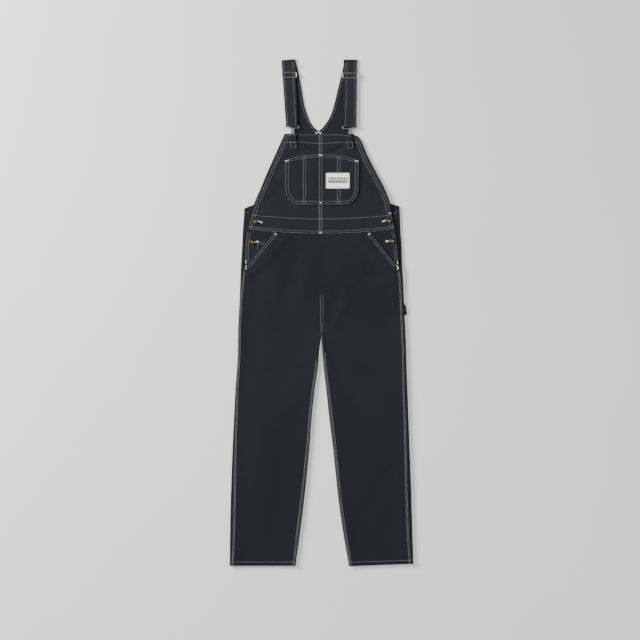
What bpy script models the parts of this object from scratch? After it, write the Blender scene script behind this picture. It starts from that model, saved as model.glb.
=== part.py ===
"""Bib overalls laid flat on their back, seen from above.

+X points to the wearer's left, +Y to the shoulders and +Z up from the surface.
The origin is on the surface, under the middle of the outline. Sizes are in
millimetres up to build_object, which turns them into metres.
Each panel is a wall of cloth: a grid of points along the middle of the cloth,
given its thickness to both sides.
"""

import math

import bmesh
import bpy
import numpy as np

METRES = 0.001

# Cloth and sewing
CLOTH = 1.2
LABEL_CLOTH = 0.8
SEAM_GAP = 0.3
FELL_WIDTH = 2.9
FELL_STEP = 0.6
FELL_RAISE = 0.6
HEM_WIDTH = 14.5
HEM_RAISE = 0.5

# Lowest line of the hems, and how far their ends are lifted from it: from
# HEM_INNER_X to HEM_OUTER_X, and dying away up to HEM_LIFT_Y
HEM_Y = -786.0
HEM_LIFT_Y = -610.0
HEM_INNER_X = 80.0
HEM_OUTER_X = 284.0
HEM_LIFT = {
    "right": {"outer": 1.5, "inner": 1.5},
    "left": {"outer": 7.5, "inner": 0.0},
}

# Levels of the middle of the cloth above the surface
BACK_LEVEL = CLOTH / 2
SECOND_LEVEL = BACK_LEVEL + CLOTH + SEAM_GAP
PLACKET_LEVEL = 2.4
WAIST_LEVEL = PLACKET_LEVEL + CLOTH + SEAM_GAP
SLASH_LEVEL = WAIST_LEVEL + CLOTH + SEAM_GAP
LEG_LEVEL = 3.6

# Height of the rolled fold along the outer side of the trousers
SIDE_FOLD = [
    {"y": 341, "height": 3.0},
    {"y": 160, "height": 3.0},
    {"y": 131, "height": 6.0},
    {"y": 83, "height": 5.4},
    {"y": 39, "height": 5.0},
    {"y": -786, "height": 5.0},
]
INNER_FOLD_HEIGHT = 5.0

# Distances from the centre line: the outer and inner outline of each leg, and
# how far inside them the outseam and the inseam lie on the front
RIGHT_LEG = [
    {"y": 341, "outer": 240.0, "inner": 0.0, "outseam": 4.0, "inseam": 0.0},
    {"y": 306, "outer": 240.4, "inner": 0.0, "outseam": 4.0, "inseam": 0.0},
    {"y": 253, "outer": 244.1, "inner": 0.0, "outseam": 4.5, "inseam": 0.0},
    {"y": 205, "outer": 246.3, "inner": 0.0, "outseam": 5.0, "inseam": 0.0},
    {"y": 157, "outer": 249.1, "inner": 0.0, "outseam": 5.0, "inseam": 0.0},
    {"y": 131, "outer": 250.4, "inner": 0.0, "outseam": 12.5, "inseam": 0.0},
    {"y": 83, "outer": 252.2, "inner": 0.0, "outseam": 9.0, "inseam": 0.0},
    {"y": 39, "outer": 254.0, "inner": 0.0, "outseam": 6.0, "inseam": 0.0},
    {"y": -60, "outer": 258.7, "inner": 0.0, "outseam": 5.8, "inseam": 0.0},
    {"y": -117, "outer": 259.3, "inner": 7.3, "outseam": 5.8, "inseam": 5.8},
    {"y": -165, "outer": 261.5, "inner": 11.0, "outseam": 5.8, "inseam": 5.8},
    {"y": -240, "outer": 267.1, "inner": 21.5, "outseam": 7.0, "inseam": 5.8},
    {"y": -314, "outer": 270.8, "inner": 29.6, "outseam": 8.5, "inseam": 6.0},
    {"y": -426, "outer": 276.0, "inner": 38.3, "outseam": 10.0, "inseam": 7.0},
    {"y": -575, "outer": 281.3, "inner": 53.5, "outseam": 13.0, "inseam": 8.7},
    {"y": -674, "outer": 283.4, "inner": 65.6, "outseam": 13.0, "inseam": 8.7},
    {"y": -786, "outer": 284.5, "inner": 80.8, "outseam": 9.0, "inseam": 6.0},
]
LEFT_LEG = [
    {"y": 341, "outer": 241.5, "inner": 0.0, "outseam": 4.0, "inseam": 0.0},
    {"y": 306, "outer": 242.6, "inner": 0.0, "outseam": 4.0, "inseam": 0.0},
    {"y": 253, "outer": 244.7, "inner": 0.0, "outseam": 4.5, "inseam": 0.0},
    {"y": 205, "outer": 248.0, "inner": 0.0, "outseam": 5.0, "inseam": 0.0},
    {"y": 157, "outer": 249.4, "inner": 0.0, "outseam": 5.0, "inseam": 0.0},
    {"y": 131, "outer": 250.6, "inner": 0.0, "outseam": 11.0, "inseam": 0.0},
    {"y": 83, "outer": 253.4, "inner": 0.0, "outseam": 9.5, "inseam": 0.0},
    {"y": 8, "outer": 256.2, "inner": 0.0, "outseam": 9.6, "inseam": 0.0},
    {"y": -60, "outer": 260.0, "inner": 0.0, "outseam": 10.5, "inseam": 0.0},
    {"y": -117, "outer": 262.0, "inner": 3.0, "outseam": 9.8, "inseam": 6.5},
    {"y": -165, "outer": 263.3, "inner": 6.0, "outseam": 10.0, "inseam": 6.5},
    {"y": -240, "outer": 266.1, "inner": 14.7, "outseam": 12.0, "inseam": 8.0},
    {"y": -314, "outer": 268.9, "inner": 22.5, "outseam": 11.5, "inseam": 9.0},
    {"y": -426, "outer": 273.0, "inner": 36.1, "outseam": 13.0, "inseam": 8.0},
    {"y": -575, "outer": 278.5, "inner": 51.9, "outseam": 15.0, "inseam": 7.7},
    {"y": -674, "outer": 281.3, "inner": 65.9, "outseam": 14.5, "inseam": 7.7},
    {"y": -786, "outer": 284.5, "inner": 85.1, "outseam": 11.0, "inseam": 6.5},
]
SIDE_SEAM_TOP_Y = 131.0
CROTCH_Y = -60.0
CROTCH_TURN = 12.0
WRAP_Y = CROTCH_Y - CROTCH_TURN
CROTCH_NOTCH = 2.0
CROTCH_SPREAD = 14.0
LEG_SPLIT = 0.3
BACK_SHARES = (0.33, 0.67)
NEAR_LEVEL = 1e-6

# Waist: the bib's lower edge, lower in the middle than at the sides, and the
# upper edge of the band that shows over it
WAIST_MIDDLE_Y = 244.0
WAIST_RISE = 14.5
WAIST_HALF = 226.0
WAIST_CORNER = 228.0
BAND_MIDDLE_Y = 292.0
BAND_RISE = 12.7
BAND_HALF = 219.0

# Back waist edge: level in the middle and falling to the side folds
BACK_TOP_Y = 341.0
WING = {
    "right": {"corner_y": 323.0, "slope": 0.38},
    "left": {"corner_y": 330.0, "slope": 0.27},
}
WING_HALF = 240.0
WING_BLEND_Y = 290.0

# Slanted pocket mouths, from the waist seam down to the outseam
SLASH = {
    "right": {"top_x": 144.0, "low_x": 234.0},
    "left": {"top_x": 149.3, "low_x": 236.5},
}
SLASH_TOP_Y = 250.0
SLASH_LOW_Y = 142.0
WAIST_BLEND_Y = 214.0
FACING_END_Y = 146.0
FACING_UNDERLAP = 24.0
FACING_MARGIN = 12.0
PLACKET_END_Y = 156.0
PLACKET_INNER_X = 200.0

# Finished edge of the bib and, below the waist, of the hip facing
FRONT_EDGE = {
    "right": [
        {"y": 554, "x": 114.6},
        {"y": 532, "x": 125.0},
        {"y": 495, "x": 141.8},
        {"y": 440, "x": 166.8},
        {"y": 385, "x": 189.6},
        {"y": 338, "x": 208.8},
        {"y": 321, "x": 213.9},
        {"y": 281, "x": 222.7},
        {"y": 253, "x": 230.5},
        {"y": 227, "x": 234.8},
        {"y": 184, "x": 237.6},
        {"y": 146, "x": 237.6},
    ],
    "left": [
        {"y": 546, "x": 113.0},
        {"y": 532, "x": 123.2},
        {"y": 495, "x": 139.4},
        {"y": 440, "x": 167.4},
        {"y": 385, "x": 195.6},
        {"y": 338, "x": 213.2},
        {"y": 321, "x": 215.5},
        {"y": 281, "x": 221.5},
        {"y": 253, "x": 227.5},
        {"y": 227, "x": 232.0},
        {"y": 184, "x": 237.0},
        {"y": 146, "x": 238.6},
    ],
}
BIB_TOP_Y = 555.5
BIB_CORNER_DROP = {"right": 1.5, "left": 9.5}
BIB_TOP_HALF = 112.0
BIB_SEAM_X = -3.0
BIB_FELL_HALF = 5.5
BIB_RISE_TOP_Y = 500.0
BIB_RISE_LOW_Y = 335.0

# Bib pocket
POCKET_HALF = 114.5
POCKET_CENTRE_X = 0.8
POCKET_BOTTOM_Y = 334.0
POCKET_CORNER = 43.0
POCKET_CORNER_RISE = 57.0
POCKET_TOP_Y = 492.0
POCKET_TOP_DROP = 20.0
POCKET_TOP_POWER = 2.2
POCKET_CLEARANCE = 2.0

LABEL_CENTRE = (50.3, 408.6)
LABEL_SIZE = (72.5, 47.4)
LABEL_CORNER = 3.0

# Back yoke: neckline of each shoulder, and its outer edge
NECK_ROWS = [
    {"y": 779.0, "right": -80.0, "left": 71.0},
    {"y": 739.0, "right": -70.5, "left": 62.0},
    {"y": 683.0, "right": -60.6, "left": 48.2},
    {"y": 645.0, "right": -54.1, "left": 39.2},
    {"y": 608.0, "right": -42.6, "left": 26.5},
    {"y": 590.0, "right": -35.0, "left": 15.7},
    {"y": 571.0, "right": -21.0, "left": 1.0},
]
NECK_POINT = (-9.5, 562.5)
YOKE_EDGE_ROWS = [
    {"y": 779.0, "right": -119.5, "left": 105.2},
    {"y": 690.0, "right": -113.3, "left": 102.1},
    {"y": 612.0, "right": -104.0, "left": 99.0},
    {"y": 566.0, "right": -93.2, "left": 92.8},
    {"y": 504.0, "right": -104.0, "left": 103.7},
    {"y": 411.0, "right": -141.0, "left": 140.9},
    {"y": 341.3, "right": -184.6, "left": 184.3},
]

# Shoulder straps: distances of the edges from the centre line at the shoulder
# fold and at the hook
STRAP = {
    "right": {"outer": (124.2, 109.9), "inner": (81.8, 74.6), "top_outer": 782.5,
              "top_inner": 786.0, "end": 575.5, "slider": 737.0},
    "left": {"outer": (110.2, 108.2), "inner": (68.0, 69.0), "top_outer": 784.5,
             "top_inner": 784.5, "end": 573.5, "slider": 734.5},
}
STRAP_TOP_Y = 780.0
STRAP_LOW_Y = 578.0
STRAP_FOLD_REACH = 1.35
STRAP_FOLD_RUN = 14.0
STRAP_SLANT_RUN = 30.0
STRAP_LEVEL = SECOND_LEVEL
STRAP_UPPER_LEVEL = STRAP_LEVEL + CLOTH + SEAM_GAP
STRAP_OVER_BAR_LEVEL = 4.6

# Upper layer of a strap from above the slider down: heights from the slider
STRAP_OVER_SLIDER = [
    {"above": 5.5, "level": STRAP_LEVEL},
    {"above": 1.5, "level": STRAP_OVER_BAR_LEVEL},
    {"above": -1.0, "level": STRAP_OVER_BAR_LEVEL},
    {"above": -4.0, "level": STRAP_UPPER_LEVEL},
    {"above": -45.0, "level": STRAP_UPPER_LEVEL},
    {"above": -90.0, "level": STRAP_UPPER_LEVEL},
]
STRAP_LOOP_RUN = 22.0
STRAP_RETURN_RUN = 40.0
STRAP_RETURN_MIDDLE = 90.0
STRAP_RETURN_END = 2.5

# Metal fittings
WIRE = 1.1
SLIDER_HALF_PITCH = 7.7
SLIDER_SIDE_GAP = 1.1
SLIDER_SIDE_WIDTH = 2.4
SLIDER_SIDE_RIM = 0.4
SLIDER_CENTRE_BAR_LEVEL = 2.6
HOOK_BAR_DROP = 6.2
HOOK_BAR_OVERLAP = 1.0
HOOK_ARM_HALF = 0.99
HOOK_TANG_OVERLAP = 0.44
HOOK_TANG_WIDTH = 12.5
HOOK_TANG_THICKNESS = 1.2
HOOK_TANG_END_Y = 531.0
HOOK = {
    "right": {"outer": 113.3, "inner": 69.0, "tang_x": 89.1},
    "left": {"outer": 111.0, "inner": 64.0, "tang_x": 89.3},
}
TAB_WIDTH = 22.5
TAB_SHARES = (-1.0, -0.82, -0.66, 0.0, 0.66, 0.82, 1.0)
TAB_ROWS = (553.0, 545.0, 536.0, 528.0, 522.0, 515.0, 508.0)
TAB_CLOTH = 1.0
TAB_RAISED_HALF = 7.4
TAB_SIDE_DROOP = 3.6
TAB_DROOP_Y = 521.0
TAB_END_DROOP = 7.0
TAB_X = {"right": 87.4, "left": 88.0}

BUTTON_RADIUS = 8.5
BUTTON_HEIGHT = 3.2
BUTTON_SEGMENTS = 16

# Button from its back to the hollow inside the rim, as shares of both sizes
BUTTON_RINGS = [
    {"radius": 0.82, "height": 0.0},
    {"radius": 1.0, "height": 0.35},
    {"radius": 0.96, "height": 0.85},
    {"radius": 0.84, "height": 0.95},
    {"radius": 0.74, "height": 0.72},
]
BUTTONS = [
    {"name": "side_button_right_upper", "x": -206.9, "y": 282.5, "on": "band"},
    {"name": "side_button_right_lower", "x": -215.0, "y": 219.0, "on": "facing"},
    {"name": "side_button_left_upper", "x": 207.9, "y": 285.3, "on": "band"},
    {"name": "side_button_left_lower", "x": 218.1, "y": 222.7, "on": "facing"},
]

# Coin pocket on the right hip facing, cut off by the slanted mouth
COIN_POCKET_OUTER_X = 200.7
COIN_POCKET_TOP_Y = 220.5
COIN_POCKET_MARGIN = 1.6
COIN_POCKET_TAIL = 2.0

# Tool loop beside the left outseam: outer edge of the folded tape, and the
# radius of its fold
TOOL_LOOP_EDGE = [
    {"x": 258.2, "y": 25.5},
    {"x": 260.9, "y": 20.6},
    {"x": 262.4, "y": 14.4},
    {"x": 262.8, "y": 8.2},
    {"x": 263.7, "y": 2.0},
    {"x": 265.0, "y": -1.7},
    {"x": 263.6, "y": -4.8},
    {"x": 260.2, "y": -8.4},
]
TOOL_LOOP_ROWS = 12
TOOL_LOOP_TURN = 1.0

# Largest soft folds of the front trousers, from one end to the other.
# A ridge has a height above zero, a trough below it
FOLDS = [
    {"x0": -70, "y0": 212, "x1": -118, "y1": 10, "width": 26, "height": -1.1},
    {"x0": -150, "y0": 170, "x1": -182, "y1": -40, "width": 32, "height": 0.8},
    {"x0": -20, "y0": 190, "x1": -60, "y1": 20, "width": 30, "height": 0.8},
    {"x0": 62, "y0": 60, "x1": 12, "y1": -45, "width": 16, "height": -1.2},
    {"x0": 90, "y0": 95, "x1": 42, "y1": -30, "width": 20, "height": 0.9},
    {"x0": 185, "y0": 128, "x1": 92, "y1": 66, "width": 24, "height": -1.0},
    {"x0": 60, "y0": 195, "x1": 130, "y1": 150, "width": 26, "height": 0.7},
    {"x0": -62, "y0": -95, "x1": -132, "y1": -230, "width": 28, "height": -0.9},
    {"x0": -150, "y0": -80, "x1": -205, "y1": -250, "width": 34, "height": 0.7},
    {"x0": 70, "y0": -120, "x1": 150, "y1": -270, "width": 30, "height": 0.7},
    {"x0": 92, "y0": -255, "x1": 150, "y1": -420, "width": 28, "height": -0.9},
    {"x0": 205, "y0": -190, "x1": 200, "y1": -430, "width": 34, "height": 0.7},
    {"x0": 210, "y0": -470, "x1": 130, "y1": -660, "width": 30, "height": -0.9},
    {"x0": -185, "y0": -330, "x1": -200, "y1": -640, "width": 36, "height": 0.7},
    {"x0": -110, "y0": -420, "x1": -150, "y1": -700, "width": 30, "height": -0.7},
]

# Level of the front's cloth: from the legs up to the waist, and the widths over
# which it sinks from the folds at its edges and the soft folds begin
BODY_RISE_LOW_Y = 200.0
BODY_RISE_RUN = 50.0
FACING_RISE_LOW_Y = 112.0
FACING_RISE_RUN = 26.0
EDGE_FLAT = 5.0
EDGE_SINK = 34.0
FOLD_START = 30.0
FOLD_WAIST_RUN = 40.0
FOLD_INNER_FLAT = 6.0
FOLD_INNER_RUN = 26.0

SHARP_ANGLE = math.radians(35)

CLOTH_COLOUR = (0.014, 0.016, 0.020)
CLOTH_INSIDE_COLOUR = (0.017, 0.019, 0.024)
LABEL_COLOUR = (0.78, 0.76, 0.71)
NICKEL_COLOUR = (0.42, 0.41, 0.39)
BRONZE_COLOUR = (0.11, 0.10, 0.05)
CLOTH_FINISH = {"roughness": 0.88, "metallic": 0.0}
METAL_FINISH = {"roughness": 0.34, "metallic": 1.0}

SIDE_SIGN = {"right": -1.0, "left": 1.0}
LEG_TABLE = {"right": RIGHT_LEG, "left": LEFT_LEG}


def smooth_step(value):
    """Run from 0 to 1 with level ends while value runs from 0 to 1."""
    value = np.clip(value, 0.0, 1.0)
    return value * value * (3.0 - 2.0 * value)


def column_at(rows, column, at, key="y"):
    """Read a table's column at any place along its key, smoothly and without overshoot."""
    ordered = sorted(rows, key=lambda row: row[key])
    places = np.array([row[key] for row in ordered], dtype=float)
    values = np.array([row[column] for row in ordered], dtype=float)
    spans = np.diff(places)
    rises = np.diff(values) / spans
    slopes = np.zeros_like(values)
    slopes[0] = rises[0]
    slopes[-1] = rises[-1]
    same_way = rises[:-1] * rises[1:] > 0
    weights = rises[:-1] + rises[1:]
    safe = np.where(same_way, weights, 1.0)
    slopes[1:-1] = np.where(same_way, 2.0 * rises[:-1] * rises[1:] / safe, 0.0)
    at = np.clip(np.asarray(at, dtype=float), places[0], places[-1])
    index = np.clip(np.searchsorted(places, at) - 1, 0, len(spans) - 1)
    t = (at - places[index]) / spans[index]
    start = values[index]
    end = values[index + 1]
    tangent_start = slopes[index] * spans[index]
    tangent_end = slopes[index + 1] * spans[index]
    return (
        (2 * t**3 - 3 * t**2 + 1) * start
        + (t**3 - 2 * t**2 + t) * tangent_start
        + (-2 * t**3 + 3 * t**2) * end
        + (t**3 - t**2) * tangent_end
    )


def leg_rows():
    """Heights of the trousers' sections, close together at the side seam and the crotch."""
    above = [341, 322, 300, 265, 230, 195, 160, 146, 131, 107, 83, 39, -10]
    crotch = [CROTCH_Y, WRAP_Y]
    below = [-117, -165, -215, -270, -330, -400, -470, -540, -610, -675, -735, HEM_Y]
    return np.array(above + crotch + below, dtype=float)


def between_sections(rows, column, y):
    """Value of a column at height y, straight from one section of the trousers to the next."""
    sections = leg_rows()[::-1]
    return np.interp(y, sections, column_at(rows, column, sections))


def leg_value(side, column, y):
    """Distance read from a leg's table at height y on the page."""
    return between_sections(LEG_TABLE[side], column, y)


def waist_edge(x):
    """The waist seam, lower in the middle."""
    return WAIST_MIDDLE_Y + WAIST_RISE * (np.abs(x) / WAIST_HALF) ** 2


def band_edge(x):
    """Upper edge of the waist band that shows on the bib."""
    return BAND_MIDDLE_Y + BAND_RISE * (np.abs(x) / BAND_HALF) ** 2


def wing_drop(side, distance, y):
    """How far the back's top rows come down to its edge, level and then falling to the side fold."""
    wing = WING[side]
    edge = wing["corner_y"] + (WING_HALF - distance) * wing["slope"]
    share = np.clip((y - WING_BLEND_Y) / (BACK_TOP_Y - WING_BLEND_Y), 0.0, 1.0)
    return (BACK_TOP_Y - np.minimum(BACK_TOP_Y, edge)) * share


def slash_x(side, y):
    """Distance of the slanted pocket mouth from the centre line."""
    slash = SLASH[side]
    share = (SLASH_TOP_Y - y) / (SLASH_TOP_Y - SLASH_LOW_Y)
    return slash["top_x"] + (slash["low_x"] - slash["top_x"]) * share


def bib_level(y):
    """Middle of the bib's cloth: low over the yoke, higher over the side plackets."""
    share = (BIB_RISE_TOP_Y - y) / (BIB_RISE_TOP_Y - BIB_RISE_LOW_Y)
    return SECOND_LEVEL + (WAIST_LEVEL - SECOND_LEVEL) * smooth_step(share)


def fold_relief(x, y):
    """Sum of the soft folds: each a bell across its line, fading at both ends."""
    relief = np.zeros_like(x)
    for fold in FOLDS:
        along_x = fold["x1"] - fold["x0"]
        along_y = fold["y1"] - fold["y0"]
        length = math.hypot(along_x, along_y)
        along = ((x - fold["x0"]) * along_x + (y - fold["y0"]) * along_y) / length**2
        across = ((x - fold["x0"]) * along_y - (y - fold["y0"]) * along_x) / length
        fade = smooth_step((along + 0.25) / 0.5) * smooth_step((1.25 - along) / 0.5)
        relief = relief + fold["height"] * fade * np.exp(-((across / fold["width"]) ** 2))
    return relief


def grid_normals(middle):
    """Unit normals of a grid of points, along its rows and columns."""
    along = np.gradient(middle, axis=0)
    across = np.gradient(middle, axis=1)
    normals = np.cross(along, across)
    return normals / np.linalg.norm(normals, axis=2, keepdims=True)


def wall_mesh(middle, thickness=CLOTH, raised=None, outward=1.0):
    """Close a grid of middle points into a wall, with raised added on its outer side."""
    rows, columns = middle.shape[:2]
    normals = grid_normals(middle) * outward
    outer_depth = np.full((rows, columns), thickness / 2)
    if raised is not None:
        outer_depth = outer_depth + raised
    outer = middle + normals * outer_depth[:, :, None]
    inner = middle - normals * (thickness / 2)
    outer[:, :, 2] = np.maximum(outer[:, :, 2], 0.0)
    inner[:, :, 2] = np.maximum(inner[:, :, 2], 0.0)
    points = np.concatenate([outer.reshape(-1, 3), inner.reshape(-1, 3)])
    count = rows * columns
    faces = []
    for i in range(rows - 1):
        for j in range(columns - 1):
            corner = i * columns + j
            quad = (corner, corner + 1, corner + columns + 1, corner + columns)
            faces.append(quad)
            faces.append(tuple(count + index for index in reversed(quad)))
    border = list(range(columns))
    border += [i * columns + columns - 1 for i in range(1, rows)]
    border += [(rows - 1) * columns + j for j in range(columns - 2, -1, -1)]
    border += [i * columns for i in range(rows - 2, 0, -1)]
    for start, end in zip(border, border[1:] + border[:1]):
        faces.append((start, count + start, count + end, end))
    return points, faces


def add_material(obj, colour, finish):
    """Give the object a Principled material of its own."""
    material = bpy.data.materials.new(obj.name)
    material.use_nodes = True
    shader = material.node_tree.nodes["Principled BSDF"]
    shader.inputs["Base Color"].default_value = (*colour, 1.0)
    shader.inputs["Roughness"].default_value = finish["roughness"]
    shader.inputs["Metallic"].default_value = finish["metallic"]
    obj.data.materials.append(material)


def build_object(name, points, faces, colour=CLOTH_COLOUR, finish=CLOTH_FINISH):
    """Make one closed, smoothly shaded object from points in millimetres."""
    mesh = bpy.data.meshes.new(name)
    places = [tuple(float(value) * METRES for value in point) for point in points]
    mesh.from_pydata(places, [], faces)
    shape = bmesh.new()
    shape.from_mesh(mesh)
    bmesh.ops.recalc_face_normals(shape, faces=shape.faces)
    if shape.calc_volume(signed=True) < 0:
        bmesh.ops.reverse_faces(shape, faces=shape.faces)
    shape.to_mesh(mesh)
    shape.free()
    mesh.shade_smooth()
    mesh.set_sharp_from_angle(angle=SHARP_ANGLE)
    obj = bpy.data.objects.new(name, mesh)
    bpy.context.collection.objects.link(obj)
    add_material(obj, colour, finish)
    return obj


def build_wall(name, middle, thickness=CLOTH, raised=None, outward=1.0, colour=CLOTH_COLOUR):
    """Make a cloth piece from its grid of middle points."""
    points, faces = wall_mesh(middle, thickness, raised, outward)
    return build_object(name, points, faces, colour)


def inner_outline(side, y):
    """Inner outline of a leg: the centre seam above the crotch, the inner fold below it."""
    turned = y <= WRAP_Y + NEAR_LEVEL
    return np.where(turned, np.maximum(leg_value(side, "inner", y), LEG_SPLIT), SEAM_GAP / 2)


def hem_height(side, distance, y):
    """Lift the lowest rows a little where the hem isn't level."""
    lifts = HEM_LIFT[side]
    share = np.clip((distance - HEM_INNER_X) / (HEM_OUTER_X - HEM_INNER_X), 0.0, 1.0)
    lift = lifts["inner"] + (lifts["outer"] - lifts["inner"]) * share
    return y + lift * np.clip((HEM_LIFT_Y - y) / (HEM_LIFT_Y - HEM_Y), 0.0, 1.0)


def back_trouser(side):
    """Back panel: round the outer fold and along the surface, below the crotch also round the inner fold."""
    quarter_turns = np.radians([90, 45, 0, -45, -90])
    rows = []
    raises = []
    for y in leg_rows():
        outer = float(leg_value(side, "outer", y))
        outseam = float(leg_value(side, "outseam", y))
        height = float(between_sections(SIDE_FOLD, "height", y))
        radius = height / 2
        middle_radius = radius - CLOTH / 2
        felled = y <= SIDE_SEAM_TOP_Y
        seam = outer - outseam + SEAM_GAP / 2
        step = min(seam + FELL_WIDTH, outer - radius - FELL_STEP)
        foot = step + FELL_STEP * 0.5
        top = height - CLOTH / 2
        line = [(seam, top), (step, top), (foot, top)]
        raised = [FELL_RAISE * felled, FELL_RAISE * felled, 0.0]
        for turn in quarter_turns:
            line.append((outer - radius + middle_radius * math.cos(turn),
                         radius + middle_radius * math.sin(turn)))
            raised.append(0.0)
        wrapped = y <= WRAP_Y + NEAR_LEVEL
        inner = float(inner_outline(side, y))
        inner_radius = INNER_FOLD_HEIGHT / 2
        inner_middle = inner_radius - CLOTH / 2
        far = outer - radius
        near = inner + (inner_radius if wrapped else CROTCH_SPREAD)
        for share in BACK_SHARES:
            line.append((far + (near - far) * share, BACK_LEVEL))
            raised.append(0.0)
        if wrapped:
            inseam = float(leg_value(side, "inseam", y))
            inseam = max(inseam, inner_radius + FELL_WIDTH + FELL_STEP)
            seam = inner + inseam - SEAM_GAP / 2
            inner_top = INNER_FOLD_HEIGHT - CLOTH / 2
            for turn in -quarter_turns:
                line.append((near - inner_middle * math.cos(turn),
                             inner_radius + inner_middle * math.sin(turn)))
                raised.append(0.0)
            line.append((seam - FELL_WIDTH, inner_top))
            line.append((seam, inner_top))
            inseam_raise = FELL_RAISE * (y < WRAP_Y - NEAR_LEVEL)
            raised += [inseam_raise, inseam_raise]
        else:
            for place in np.linspace(near, inner, len(quarter_turns) + 2):
                line.append((place, BACK_LEVEL))
                raised.append(0.0)
        distances = np.array([point[0] for point in line])
        levels = np.array([point[1] for point in line])
        heights = hem_height(side, distances, np.full_like(distances, y))
        heights = heights - wing_drop(side, distances, y)
        rows.append(np.stack([distances * SIDE_SIGN[side], heights, levels], axis=1))
        raises.append(raised)
    middle = np.array(rows)
    outward = SIDE_SIGN[side]
    return build_wall("back_trouser_" + side, middle, CLOTH, np.array(raises), outward)


def front_rows():
    """Heights of the front panels' sections, from the waist seam to the hem."""
    above = [250, 232, 214, 196, 178, 160, 146, 131, 107, 83, 61, 39, 15, -10, -35]
    crotch = [CROTCH_Y, WRAP_Y]
    below = [-94, -117, -141, -165, -190, -215, -242, -270, -300, -330, -365, -400, -435, -470]
    end = [-505, -540, -575, -610, -675, -735, HEM_Y]
    return np.array(above + crotch + below + end, dtype=float)


def front_outer_edge(side, y):
    """Outer edge of the front panel: the slanted mouth, then the outseam."""
    outseam = leg_value(side, "outer", y) - leg_value(side, "outseam", y) - SEAM_GAP / 2
    return np.where(y > SLASH_LOW_Y, slash_x(side, y), outseam)


def front_inner_edge(side, y):
    """Inner edge of the front panel: the centre seam, then the inseam."""
    turned = y <= WRAP_Y + NEAR_LEVEL
    least = INNER_FOLD_HEIGHT / 2 + FELL_WIDTH + FELL_STEP
    inseam = np.maximum(leg_value(side, "inseam", y), least)
    centre = np.where(y > CROTCH_Y + NEAR_LEVEL, SEAM_GAP / 2, CROTCH_NOTCH)
    return np.where(turned, inner_outline(side, y) + inseam + SEAM_GAP / 2, centre)


def front_level(side, distance, y, from_outer, from_inner):
    """Middle of the front's cloth: level with the folds at its edges, lower and soft between."""
    rise = smooth_step((y - BODY_RISE_LOW_Y) / BODY_RISE_RUN)
    body = LEG_LEVEL + (WAIST_LEVEL - LEG_LEVEL) * rise
    over_facing = smooth_step((y - FACING_RISE_LOW_Y) / FACING_RISE_RUN)
    side_height = between_sections(SIDE_FOLD, "height", np.minimum(y, SIDE_SEAM_TOP_Y))
    outer_level = np.where(y > SIDE_SEAM_TOP_Y, SLASH_LEVEL, side_height - CLOTH / 2)
    flat = EDGE_FLAT + (FACING_UNDERLAP + FACING_MARGIN) * over_facing
    fade = smooth_step((from_outer - flat) / EDGE_SINK)
    level = outer_level + (body - outer_level) * fade
    below_crotch = y <= WRAP_Y + NEAR_LEVEL
    inner_level = INNER_FOLD_HEIGHT - CLOTH / 2
    inner_fade = np.where(below_crotch, smooth_step((from_inner - EDGE_FLAT) / EDGE_SINK), 1.0)
    level = inner_level + (level - inner_level) * inner_fade
    quiet = smooth_step((from_outer - flat) / FOLD_START)
    quiet = quiet * smooth_step((WAIST_MIDDLE_Y - y) / FOLD_WAIST_RUN)
    from_fold = smooth_step((from_inner - FOLD_INNER_FLAT) / FOLD_INNER_RUN)
    near_inner = np.where(y < CROTCH_Y, from_fold, 1.0)
    return level + fold_relief(distance * SIDE_SIGN[side], y) * quiet * near_inner


def front_trouser(side):
    """Front panel from the waist seam to the hem, cut away along the slanted mouth."""
    y = front_rows()[:, None]
    outer = front_outer_edge(side, y)
    inner = front_inner_edge(side, y)
    shares = np.linspace(0.0, 1.0, 9)[None, :]
    first = outer - FELL_WIDTH - FELL_STEP
    last = inner + FELL_WIDTH + FELL_STEP
    between = first + (last - first) * shares
    edges = [outer, outer - FELL_WIDTH, between, inner + FELL_WIDTH, inner]
    distance = np.concatenate(edges, axis=1)
    nominal = np.broadcast_to(y, distance.shape)
    lift = waist_edge(distance) - SEAM_GAP - SLASH_TOP_Y
    share = np.clip((nominal - WAIST_BLEND_Y) / (SLASH_TOP_Y - WAIST_BLEND_Y), 0.0, 1.0)
    height = hem_height(side, distance, nominal + lift * share**2)
    level = front_level(side, distance, nominal, outer - distance, distance - inner)
    middle = np.stack([distance * SIDE_SIGN[side], height, level], axis=2)
    raised = np.zeros(distance.shape)
    felled_out = y[:, 0] <= SIDE_SEAM_TOP_Y
    felled_in = y[:, 0] < WRAP_Y - NEAR_LEVEL
    raised[felled_out, 0:2] = FELL_RAISE
    raised[felled_in, -2:] = FELL_RAISE
    return build_wall("front_trouser_" + side, middle, CLOTH, raised, -SIDE_SIGN[side])


def hip_facing(side):
    """Facing that shows between the side opening and the slanted mouth."""
    shares_down = np.linspace(0.0, 1.0, 9)[:, None]
    shares_across = np.linspace(0.0, 1.0, 6)[None, :]
    nominal = SLASH_TOP_Y + (FACING_END_Y - SLASH_TOP_Y) * shares_down
    outer = column_at(FRONT_EDGE[side], "x", nominal)
    inner = slash_x(side, nominal) - FACING_UNDERLAP
    distance = outer + (inner - outer) * shares_across
    lift = waist_edge(distance) - SEAM_GAP - SLASH_TOP_Y
    height = nominal + lift * (1.0 - shares_down)
    level = np.full(distance.shape, WAIST_LEVEL)
    middle = np.stack([distance * SIDE_SIGN[side], height, level], axis=2)
    return build_wall("hip_facing_" + side, middle, CLOTH, None, SIDE_SIGN[side])


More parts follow.
